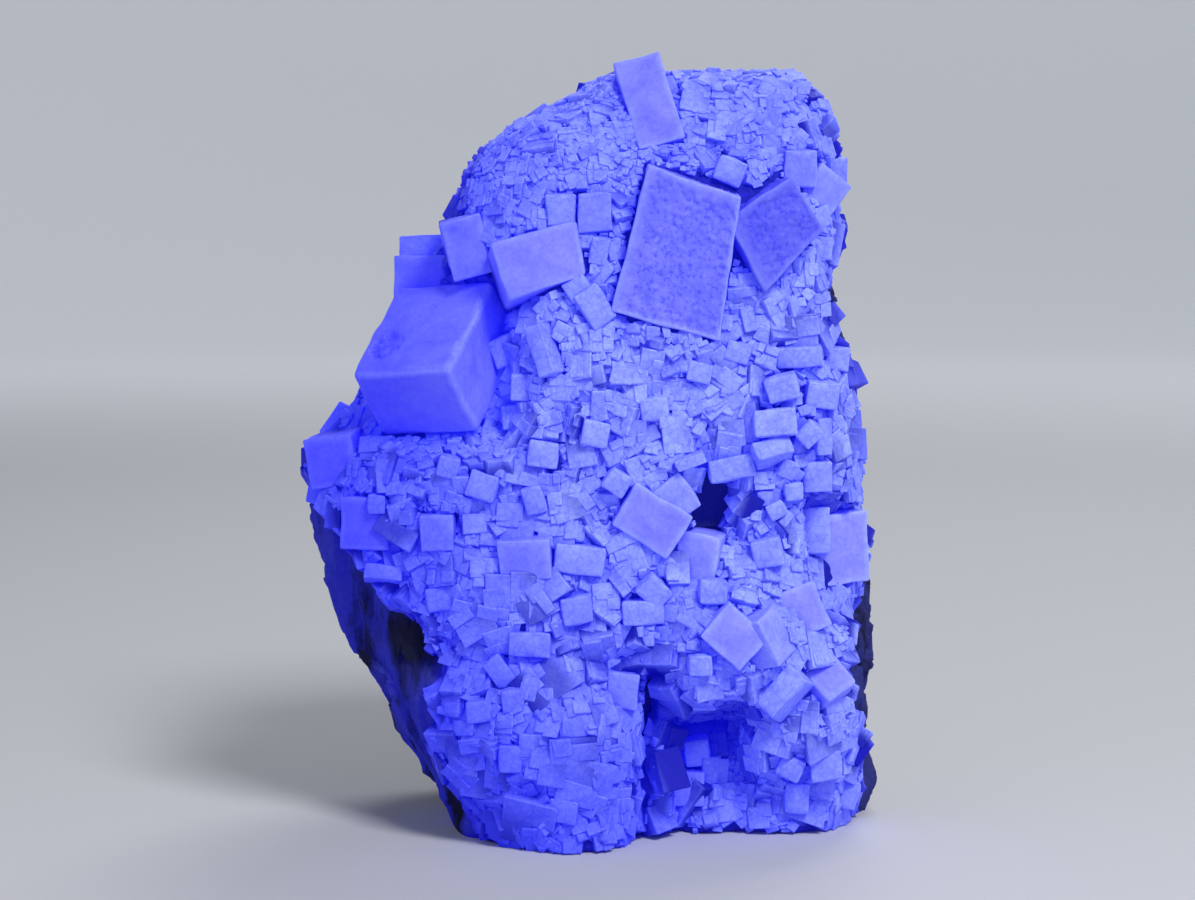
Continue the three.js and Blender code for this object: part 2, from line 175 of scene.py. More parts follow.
def facets(points: Array, cell: float, seed: int) -> Array:
    """Flat broken faces, from about -1 to 1.

    Every lattice cube holds one nucleus at a place of its own. A point takes the sloping plane of the
    nearest nucleus.

    Args:
        points: places, with x, y and z along the last axis, in mm.
        cell: edge of a lattice cube, in mm.
        seed: picks one pattern.

    Returns:
        One number for each point.
    """
    scaled = np.asarray(points, float) / cell
    corner = np.floor(scaled).astype(np.int64)
    nearest = np.full(scaled.shape[:-1], np.inf)
    height = np.zeros(scaled.shape[:-1])
    for step in itertools.product((-1, 0, 1), repeat=3):
        place = corner + np.array(step)
        numbers = [lattice_number(place, seed + i) for i in range(7)]
        apart = scaled - place - 0.5 - 0.5 * np.stack(numbers[:3], -1)
        distance = np.einsum("...i,...i->...", apart, apart)
        plane = 0.9 * np.einsum("...i,...i->...", apart, np.stack(numbers[3:6], -1)) + 0.45 * numbers[6]
        height = np.where(distance < nearest, plane, height)
        nearest = np.minimum(distance, nearest)
    return height


def turn_matrix(roll: Numbers, pitch: Numbers, yaw: Numbers) -> Array:
    """Rotation by roll about Y, then pitch about X, then yaw about Z, in degrees.

    Args:
        roll: turn in the plane of the front face.
        pitch: tip of the face, negative to look upwards.
        yaw: swing of the face, positive to the right.

    Returns:
        Matrices with the turned X, Y and Z axes as columns.
    """
    angles = [np.radians(np.asarray(angle, float)) for angle in (roll, pitch, yaw)]
    (cr, cp, cy), (sr, sp, sy) = [np.cos(angle) for angle in angles], [np.sin(angle) for angle in angles]
    zero, one = np.zeros_like(cr), np.ones_like(cr)
    about_y = np.stack([cr, zero, sr, zero, one, zero, -sr, zero, cr], -1).reshape(cr.shape + (3, 3))
    about_x = np.stack([one, zero, zero, zero, cp, -sp, zero, sp, cp], -1).reshape(cr.shape + (3, 3))
    about_z = np.stack([cy, -sy, zero, sy, cy, zero, zero, zero, one], -1).reshape(cr.shape + (3, 3))
    return about_z @ about_x @ about_y


# ---------------------------------------------------------------- meshes


class Part(Enum):
    """A part of the specimen: its slot in the record, and its CAD node."""

    ROCK = ("rock", "host_rock")
    CRUST = ("fluorite", "fluorite_crust")


@dataclass
class Shape:
    """A surface as arrays: points in mm, faces as rows of point numbers, and values for its finish.

    Corner values follow the faces in order, one row for each corner of each face.
    """

    points: Array
    faces: list[Array]
    point_values: dict[str, Array] = field(default_factory=dict)
    corner_values: dict[str, Array] = field(default_factory=dict)

    @staticmethod
    def joined(shapes: list["Shape"]) -> "Shape":
        """Put several shapes that carry the same values into one.

        Args:
            shapes: shapes whose faces all have four corners.

        Returns:
            One shape, with the points and faces in the same order.
        """
        starts = np.cumsum([0] + [len(shape.points) for shape in shapes[:-1]])
        faces = [np.concatenate([shape.faces[0] + start for shape, start in zip(shapes, starts)])]
        point_values, corner_values = (
            {key: np.concatenate([values[key] for values in kind]) for key in kind[0]}
            for kind in zip(*((shape.point_values, shape.corner_values) for shape in shapes))
        )
        return Shape(np.concatenate([shape.points for shape in shapes]), faces, point_values, corner_values)


def add_piece(name: str, shape: Shape, part: Part, material: Material, smooth: bool) -> None:
    """Make an object of a shape, dress it, and set it in the frame in place of a CAD node.

    Args:
        name: the piece's name.
        shape: its surface, in mm.
        part: the part of the specimen that it stands for.
        material: its finish.
        smooth: whether its shading is smooth across the faces.
    """
    mesh = bpy.data.meshes.new(name)
    mesh.vertices.add(len(shape.points))
    mesh.vertices.foreach_set("co", ((shape.points + SHIFT) * MILLIMETRE).ravel().astype(np.float32))
    loops = np.concatenate([rows.ravel() for rows in shape.faces]).astype(np.int32)
    totals = np.concatenate([np.full(len(rows), rows.shape[1]) for rows in shape.faces])
    mesh.loops.add(len(loops))
    mesh.loops.foreach_set("vertex_index", loops)
    mesh.polygons.add(len(totals))
    mesh.polygons.foreach_set("loop_start", (np.cumsum(totals) - totals).astype(np.int32))
    mesh.update(calc_edges=True)
    mesh.polygons.foreach_set("use_smooth", np.full(len(totals), smooth))
    for key, values in shape.point_values.items():
        layer = mesh.attributes.new(key, "FLOAT", "POINT")
        layer.data.foreach_set("value", values.astype(np.float32))
    for key, values in shape.corner_values.items():
        layer = mesh.attributes.new(key, "FLOAT_VECTOR", "CORNER")
        layer.data.foreach_set("vector", values.astype(np.float32).ravel())
    mesh.materials.append(material)
    piece = bpy.data.objects.new(name, mesh)
    bpy.context.scene.collection.objects.link(piece)
    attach(piece, BODY)
    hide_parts(part.value[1])
    log.info("%s: %d points, %d triangles", name, len(shape.points), (totals - 2).sum())


# ---------------------------------------------------------------- the block


@dataclass(frozen=True)
class RoundPatch:
    """A round or oval place on the front: the x and z of its middle, and its two radii."""

    x: float
    z: float
    radius_x: float
    radius_z: float

    def distance(self, x: Numbers, z: Numbers) -> Numbers:
        """The squared distance of a place from the middle, in radii: 1 on the rim."""
        return ((x - self.x) / self.radius_x) ** 2 + ((z - self.z) / self.radius_z) ** 2


@dataclass(frozen=True)
class Swelling(RoundPatch):
    """A soft dent in the front, or a bulge when its depth is negative."""

    depth: float

    def at(self, x: Numbers, z: Numbers) -> Numbers:
        """Its depth at a place: depth * exp(-d^2)."""
        return self.depth * np.exp(-self.distance(x, z))


@dataclass(frozen=True)
class Block:
    """The outer form of the specimen: superellipse sections between smooth edges, and a carved front.

    The edges are [height, place] pairs: the x of the left and right edges, and the y of the middle
    of the front and back. A direction goes round the block from the right (0) over the front (90
    degrees) to the left (180).
    """

    left_edge: Pairs = (
        (0, -34), (13, -43), (19, -49), (34, -54.5), (45, -59.5), (61, -65.5), (74, -67),
        (84, -65), (97, -54), (120, -38), (144, -32), (152, -28), (158, -21), (164, -9), (170.5, 4),
    )
    right_edge: Pairs = (
        (0, 63), (8, 65), (27, 64), (63, 62.5), (80, 59.5), (103, 58), (129, 56), (157, 54), (167, 50),
        (170.5, 46),
    )
    front_middle: Pairs = (
        (0, -35), (12, -33), (60, -30), (100, -28), (130, -24), (150, -18), (161, -11), (167, -6), (170.5, 0),
    )
    back_middle: Pairs = (
        (0, 40), (20, 45), (60, 47), (100, 43), (130, 38), (150, 32), (161, 27), (167, 23), (170.5, 17),
    )
    side_y: float = 8
    squareness: float = 3
    crest: float = 170.5
    crest_rise: float = 0.6
    crust_right_end: Pairs = (
        (0, 24), (8, 30), (45, 32), (55, 20), (70, 4), (85, -2), (104, -4), (112, 26), (128, 27), (137, -8),
        (151, -10), (158, 20), (170, 28),
    )
    crust_left_end: Pairs = (
        (0, 146), (20, 134), (33, 133), (41, 126), (50, 126), (58, 136), (63, 143), (73, 146), (80, 166),
        (90, 186), (110, 192), (170, 204),
    )
    swellings: tuple[Swelling, ...] = (
        Swelling(-21, 120, 7, 8, 6),  # nook beside the great cube
        Swelling(-14, 22, 24, 30, -8),  # left foot
        Swelling(26, 26.5, 13, 5.5, 13),  # cave in the right foot
        Swelling(50, 15, 12, 15, -8),  # lobe of the right foot
        Swelling(32, 45, 20, 13, -6),  # bulge that the shield stands on
        Swelling(26, 76, 8, 9, 4),  # dish round the hollow
        Swelling(47, 92, 13, 13, -5),  # ledge of the right wall
    )
    light: tuple[float, float, float] = (0.30, -0.60, 0.74)
    shadow_reaches: tuple[float, ...] = (2, 4, 7, 10, 14, 18)
    shadow_top: float = 166

    def section(self, z: Numbers) -> tuple[Array, Array, Array, Array]:
        """The plain section at a height.

        Args:
            z: heights.

        Returns:
            Its centre, its half width, and its depths to the front and the back.
        """
        left = along_height(self.left_edge, z)
        right = along_height(self.right_edge, z)
        front = self.side_y - along_height(self.front_middle, z)
        back = along_height(self.back_middle, z) - self.side_y
        return (left + right) / 2, (right - left) / 2, front, back

    def front_relief(self, x: Numbers, z: Numbers) -> Array:
        """How far the front lies behind its plain form: negative for a bulge, positive for a recess.

        Args:
            x: places across.
            z: heights.

        Returns:
            One distance for each place.
        """
        lean_from = 23 - 16 * smoothstep(30, 38, x)
        cleft_depth = (5 + 9 * (1 - smoothstep(4, 22, z))) * (1 - smoothstep(32, 44, z))
        bay_of_great_cube = 10 * (1 - smoothstep(-21, -13, x)) * window((84, 93), (119, 132), z)
        right_foot_recess = 15 * smoothstep(13, 19, x) * (1 - smoothstep(lean_from, 30, z))
        cleft_valley = cleft_depth * np.exp(-(((x - 11) / 6) ** 2))
        wall_recess = 8 * smoothstep(43, 48, x) * window((44, 50), (74, 80), z)
        waist = 3 * np.exp(-(((z - 41) / 5) ** 2)) * window((-44, -34), (4, 12), x)
        carved = bay_of_great_cube + right_foot_recess + cleft_valley + wall_recess + waist
        return carved + sum(swelling.at(x, z) for swelling in self.swellings)

    def surface(self, direction: Array, z: Array, offset: Numbers = 0.0) -> Array:
        """Points of the block's surface.

        In a direction (c, s) the section's reach is (|c|^n + |s|^n)^(-1/n), times the half width
        across and the depth forward. The front then gets its relief, faded out towards the sides.

        Args:
            direction: directions round the block, in radians.
            z: heights.
            offset: how far to push the points out along the section's normal.

        Returns:
            Points in mm, x, y and z along the last axis.
        """
        direction, z, offset = np.broadcast_arrays(direction, z, offset)
        centre, half_width, front, back = self.section(z)
        c, s = np.cos(direction), np.sin(direction)
        power = self.squareness
        reach = (np.abs(c) ** power + np.abs(s) ** power) ** (-1 / power)
        across, forward = reach * c, reach * s
        depth = np.where(s > 0, front, back)
        x = centre + half_width * across
        y = self.side_y - depth * forward
        y = y + np.where(s > 0, self.front_relief(x, z) * smoothstep(0, 0.5, forward), 0.0)
        out_x = np.sign(across) * np.abs(across) ** (power - 1) / half_width
        out_y = -np.sign(forward) * np.abs(forward) ** (power - 1) / depth
        length = np.hypot(out_x, out_y)
        return np.stack([x + offset * out_x / length, y + offset * out_y / length, z], -1)

    def front_y(self, x: Numbers, z: Numbers) -> Array:
        """The y of the block's front at a place seen from the front.

        Args:
            x: places across.
            z: heights.

        Returns:
            One y for each place.
        """
        centre, half_width, front, _ = self.section(z)
        across = np.minimum(1, np.abs((x - centre) / half_width))
        forward = (1 - across**self.squareness) ** (1 / self.squareness)
        return self.side_y - front * forward + self.front_relief(x, z) * smoothstep(0, 0.5, forward)

    def shade(self, points: Array) -> Array:
        """How far the front above keeps the light from points near it, from 0 to 1.

        Light comes down from the upper right at 37 degrees to the front. A point is shaded where the
        front stands before its ray, and wholly so from 3 mm on.

        Args:
            points: places, with x, y and z along the last axis, in mm.

        Returns:
            One number for each point, fading to 0 towards the sides and the back.
        """
        x, y, z = np.moveaxis(points, -1, 0)
        deepest = np.zeros(x.shape)
        for reach in self.shadow_reaches:
            ray_x, ray_y, ray_z = (start + reach * part for start, part in zip((x, y, z), self.light))
            over = ray_y - self.front_y(ray_x, ray_z)
            deepest = np.maximum(deepest, np.where(ray_z < self.shadow_top, over, 0.0))
        return smoothstep(0.0, 3.0, deepest) * (1 - smoothstep(0, 10, y))

    def inside_crust(self, direction: Array, z: Array) -> Array:
        """How far inside the crust's two wandering ends a direction lies.

        Args:
            direction: directions round the block, in radians.
            z: heights.

        Returns:
            Degrees to the nearer end, negative outside the crust.
        """
        degrees = np.degrees(direction)
        wander = 2.5 * np.sin(0.21 * z + 0.8) + 1.5 * np.sin(0.53 * z)
        right_end = along_height(self.crust_right_end, z) + wander
        left_end = along_height(self.crust_left_end, z) - wander
        turned = np.where(degrees > 270, degrees - 360, degrees)
        return np.minimum(turned - right_end, left_end - turned)


# ---------------------------------------------------------------- ground of the crust


@dataclass(frozen=True)
class Slot:
    """A narrow opening in the crust that goes back to a floor.

    Its middle and half width follow [height, place] pairs. Its top and foot are soft.
    """

    middle: Pairs
    half_width: Pairs
    foot: float
    top: float
    floor_y: float
    softness: float
    end_softness: float = 1.5

    def share(self, x: Array, z: Array) -> Array:
        """How far a place lies inside the opening.

        Args:
            x: places across.
            z: heights.

        Returns:
            1 inside, 0 outside, with a soft rim between.
        """
        beside = np.abs(x - along_height(self.middle, z)) - along_height(self.half_width, z)
        within = 1 - smoothstep(-self.softness, self.softness, beside)
        ends = [(end - self.end_softness, end + self.end_softness) for end in (self.foot, self.top)]
        return within * window(*ends, z)


CLEFT = Slot(
    middle=((-2, 11.2), (20, 10.9), (35, 12.3), (42, 14.4)),
    half_width=((-2, 1.8), (20, 1.7), (35, 2.3), (42, 3.0)),
    foot=-5, top=41, floor_y=2, softness=0.9,
)
HOLLOW = Slot(
    middle=((69, 24.0), (74, 25.8), (80, 26.3), (85, 23.5)),
    half_width=((69, 2.4), (72, 4.0), (78, 4.4), (82, 3.4), (85, 1.6)),
    foot=70.5, top=84, floor_y=-8, softness=0.8,
)
OPENINGS = (CLEFT, HOLLOW)


def open_share(points: Array) -> Array:
    """The share of all openings together at points of the front."""
    return sum(opening.share(points[:, 0], points[:, 2]) for opening in OPENINGS)


def stretched(start: float, end: float, count: int, busy: Callable[[Array], Array]) -> Array:
    """Spread numbers from start to end, closer together where busy is large.

    The running sum of busy is cut into equal shares.
    """
    fine = np.linspace(start, end, 4000)
    total = np.concatenate([[0.0], np.cumsum((busy(fine[1:]) + busy(fine[:-1])) / 2)])
    return np.interp(np.linspace(0, total[-1], count), total, fine)


def closed_grid(points: Array) -> Array:
    """Quads between the rows of a grid whose last column meets its first.

    Args:
        points: grid of points, rows first.

    Returns:
        Rows of four point numbers, facing away from the rows' middle when columns run clockwise seen
        from below and rows run upwards.
    """
    rows, columns = points.shape[:2]
    number = np.arange(rows * columns).reshape(rows, columns)
    beside = np.roll(number, -1, axis=1)
    return np.stack([number[:-1], number[1:], beside[1:], beside[:-1]], -1).reshape(-1, 4)


def rings_inside(ring: Array, count: int) -> Array:
    """Rings that close in from a ring to its middle in equal steps, both ends left out."""
    middle = ring.mean(axis=0)
    return middle + (ring - middle) * np.linspace(1, 0, count + 1)[1:-1, None, None]


def with_poles(grid: Array, foot: Array, top: Array) -> tuple[Array, list[Array]]:
    """Close a grid of rings with a point below the first row and one above the last.

    Args:
        grid: rings of points, from the foot up.
        foot: the point that closes the first ring.
        top: the point that closes the last ring.

    Returns:
        All points, and the faces: quads first, then the triangles of both fans.
    """
    rows, columns = grid.shape[:2]
    points = np.concatenate([grid.reshape(-1, 3), [foot], [top]])
    first = np.arange(columns)
    last = first + (rows - 1) * columns
    foot_fan = np.stack([np.full(columns, rows * columns), first, np.roll(first, -1)], -1)
    top_fan = np.stack([np.full(columns, rows * columns + 1), np.roll(last, -1), last], -1)
    return points, [closed_grid(grid), np.concatenate([foot_fan, top_fan])]


@dataclass
class CrustGround:
    """The rough floor of the crust, in which all the crystals stand."""

    block: Block
    columns: int = 460
    rows: int = 150
    cap_rings: int = 12
    foot: float = 0.5
    dive: float = 9.0
    sink: float = 0.8
    points: Array = field(init=False)
    directions: Array = field(init=False)

    def __post_init__(self) -> None:
        """Work out the grid: the sides from the foot up, then rings closing in over the crest."""
        direction = stretched(0, 2 * math.pi, self.columns + 1, self.busy)[:-1]
        heights = np.linspace(self.foot, self.block.crest, self.rows)
        grid_direction, grid_height = np.meshgrid(direction, heights)
        sides = self.carved(grid_direction, grid_height)
        cap = rings_inside(sides[-1], self.cap_rings)
        cap[..., 2] += self.block.crest_rise * (1 - np.linspace(1, 0, self.cap_rings + 1)[1:-1, None] ** 2)
        cap[..., 2] += 0.35 * layered_noise(cap, 4.0, 31) - 0.4
        self.points = np.concatenate([sides, cap])
        self.directions = np.concatenate([grid_direction, np.repeat(grid_direction[-1:], len(cap), axis=0)])

    @staticmethod
    def busy(direction: Array) -> Array:
        """How close the columns lie: closest over the cleft and the hollow, loosest on the back."""
        over_openings = np.exp(-(((direction - math.radians(88)) / 0.22) ** 2))
        return 1.0 + 1.6 * over_openings - 0.6 * (direction > 3.7)

    def carved(self, direction: Array, z: Array) -> Array:
        """The crust's surface with its openings. Past the crust's ends it dives under the rock.

        Args:
            direction: directions round the block, in radians.
            z: heights.

        Returns:
            Points in mm.
        """
        cover = smoothstep(-1.5, 4, self.block.inside_crust(direction, z))
        points = self.block.surface(direction, z, blend(-self.dive, -self.sink, cover))
        rough = 1.2 * layered_noise(points, 15.0, 5, 2) + 0.5 * layered_noise(points, 6.0, 7)
        rough += 0.25 * layered_noise(points, 1.6, 17)
        _, lower = openness(points[..., 0], z)
        offset = blend(-self.dive, -self.sink, cover) + (rough - lower * (np.sin(direction) > -0.2)) * cover
        points = self.block.surface(direction, z, offset)
        front = np.sin(direction) > 0
        for opening in OPENINGS:
            share = opening.share(points[..., 0], z) * front
            deeper = np.maximum(points[..., 1], opening.floor_y)
            points[..., 1] = blend(points[..., 1], deeper, share)
        return points

    def shape(self) -> Shape:
        """The ground as a closed surface."""
        points, faces = with_poles(self.points, self.points[0].mean(axis=0), self.points[-1].mean(axis=0))
        # Painted shade: full in the cleft and the hollow, and from the front above.
        opening = np.minimum(open_share(points) * (points[:, 1] < 0), 1.0)
        return Shape(points, faces, {"shade": np.maximum(self.block.shade(points), opening)})

    def random_places(
        self, count: int, weight: Callable[[Array], Array], draw: np.random.Generator,
    ) -> tuple[Array, Array, Array]:
        """Pick places on the ground, by area and weight, where the crust covers the rock.

        Args:
            count: how many places.
            weight: share of the full density at given points.
            draw: stream of random numbers.

        Returns:
            The places, the outward directions there, and how far inside the crust's ends each lies.
        """
        corners = self.points.reshape(-1, 3)[closed_grid(self.points)]
        span_up = (corners[:, 1] + corners[:, 2] - corners[:, 0] - corners[:, 3]) / 2
        span_round = (corners[:, 3] + corners[:, 2] - corners[:, 0] - corners[:, 1]) / 2
        area_normal = np.cross(span_up, span_round)
        area = np.linalg.norm(area_normal, axis=1)
        middle = corners.mean(axis=1)
        direction = self.directions.reshape(-1)[closed_grid(self.points)[:, 0]]
        inside = self.block.inside_crust(direction, middle[:, 2])
        in_opening = open_share(middle) * np.sin(direction)
        chance = area * weight(middle) * (inside > 0.5) * (in_opening < 0.02)
        picked = draw.choice(len(area), size=count, p=chance / chance.sum())
        along, up = draw.random((2, count, 1))
        low = blend(corners[picked, 0], corners[picked, 3], along)
        high = blend(corners[picked, 1], corners[picked, 2], along)
        return blend(low, high, up), unit(area_normal[picked]), inside[picked]


# ---------------------------------------------------------------- large crystals


class Growth(Enum):
    """How the faces of a large crystal have grown: plain, with low steps, etched, or worn on one face."""

    SMOOTH = "smooth"
    TERRACED = "terraced"
    FROSTED = "frosted"
    WORN = "worn"


LEAN = 3.5  # most that a small named crystal leans out of its own turn, in degrees
LEANING_WIDTH = 13  # widest one that does, in mm


@dataclass(frozen=True)
class Crystal:
    """A large cube: the x and z of the middle of its front face, its size, its turn and its standing.

    Roll, pitch and yaw are in degrees, and proud is how far the front face stands out of the crust.
    Warp moves the four corners of an uneven one across and up, from the upper left one clockwise.
    Painted shade is how much darker it is painted than its neighbours, for the light that falls less on its
    face, from 0 to 1.
    """

    x: float
    z: float
    width: float
    height: float
    depth: float
    roll: float = 0
    pitch: float = 0
    yaw: float = 0
    proud: float = 1.5
    growth: Growth = Growth.TERRACED
    warp: Pairs = ((0.0, 0.0),) * 4
    # painted shade: how much darker the crystal is painted, for the light that falls less on its face
    painted_shade: float = 0.0

    @property
    def half(self) -> Array:
        """Half of its width, depth and height, along its own x, y and z."""
        return np.array([self.width, self.depth, self.height]) / 2

    @property
    def axes(self) -> Array:
        """Its own x, y and z axes as columns. A small one also leans a little, by a sine of its place.

        Returns:
            A matrix of three columns.
        """
        lean = LEAN if self.growth is Growth.TERRACED and self.width < LEANING_WIDTH else 0.0
        nod = lean * math.sin(0.7 * self.x + 0.3 * self.z)
        swing = lean * math.sin(0.5 * self.x - 0.4 * self.z)
        return turn_matrix(self.roll, self.pitch + nod, self.yaw + swing)

    def face_middle(self, block: Block) -> Array:
        """The middle of its front face."""
        return np.array([self.x, float(block.front_y(self.x, self.z)) - self.proud, self.z])

    def middle(self, block: Block) -> Array:
        """The middle of the whole cube, half its depth behind the front face."""
        return self.face_middle(block) + self.axes[:, 1] * self.depth / 2

    def warped(self, local: Array) -> Array:
        """Move points of the plain cube with its corners, in proportion across and up.

        Args:
            local: points in the cube's own axes, from its middle.

        Returns:
            The moved points.
        """
        across = local[:, 0] / self.width + 0.5
        up = local[:, 2] / self.height + 0.5
        shares = np.stack([(1 - across) * up, across * up, across * (1 - up), (1 - across) * (1 - up)], -1)
        moved = local.copy()
        moved[:, [0, 2]] += shares @ np.array(self.warp)
        return moved


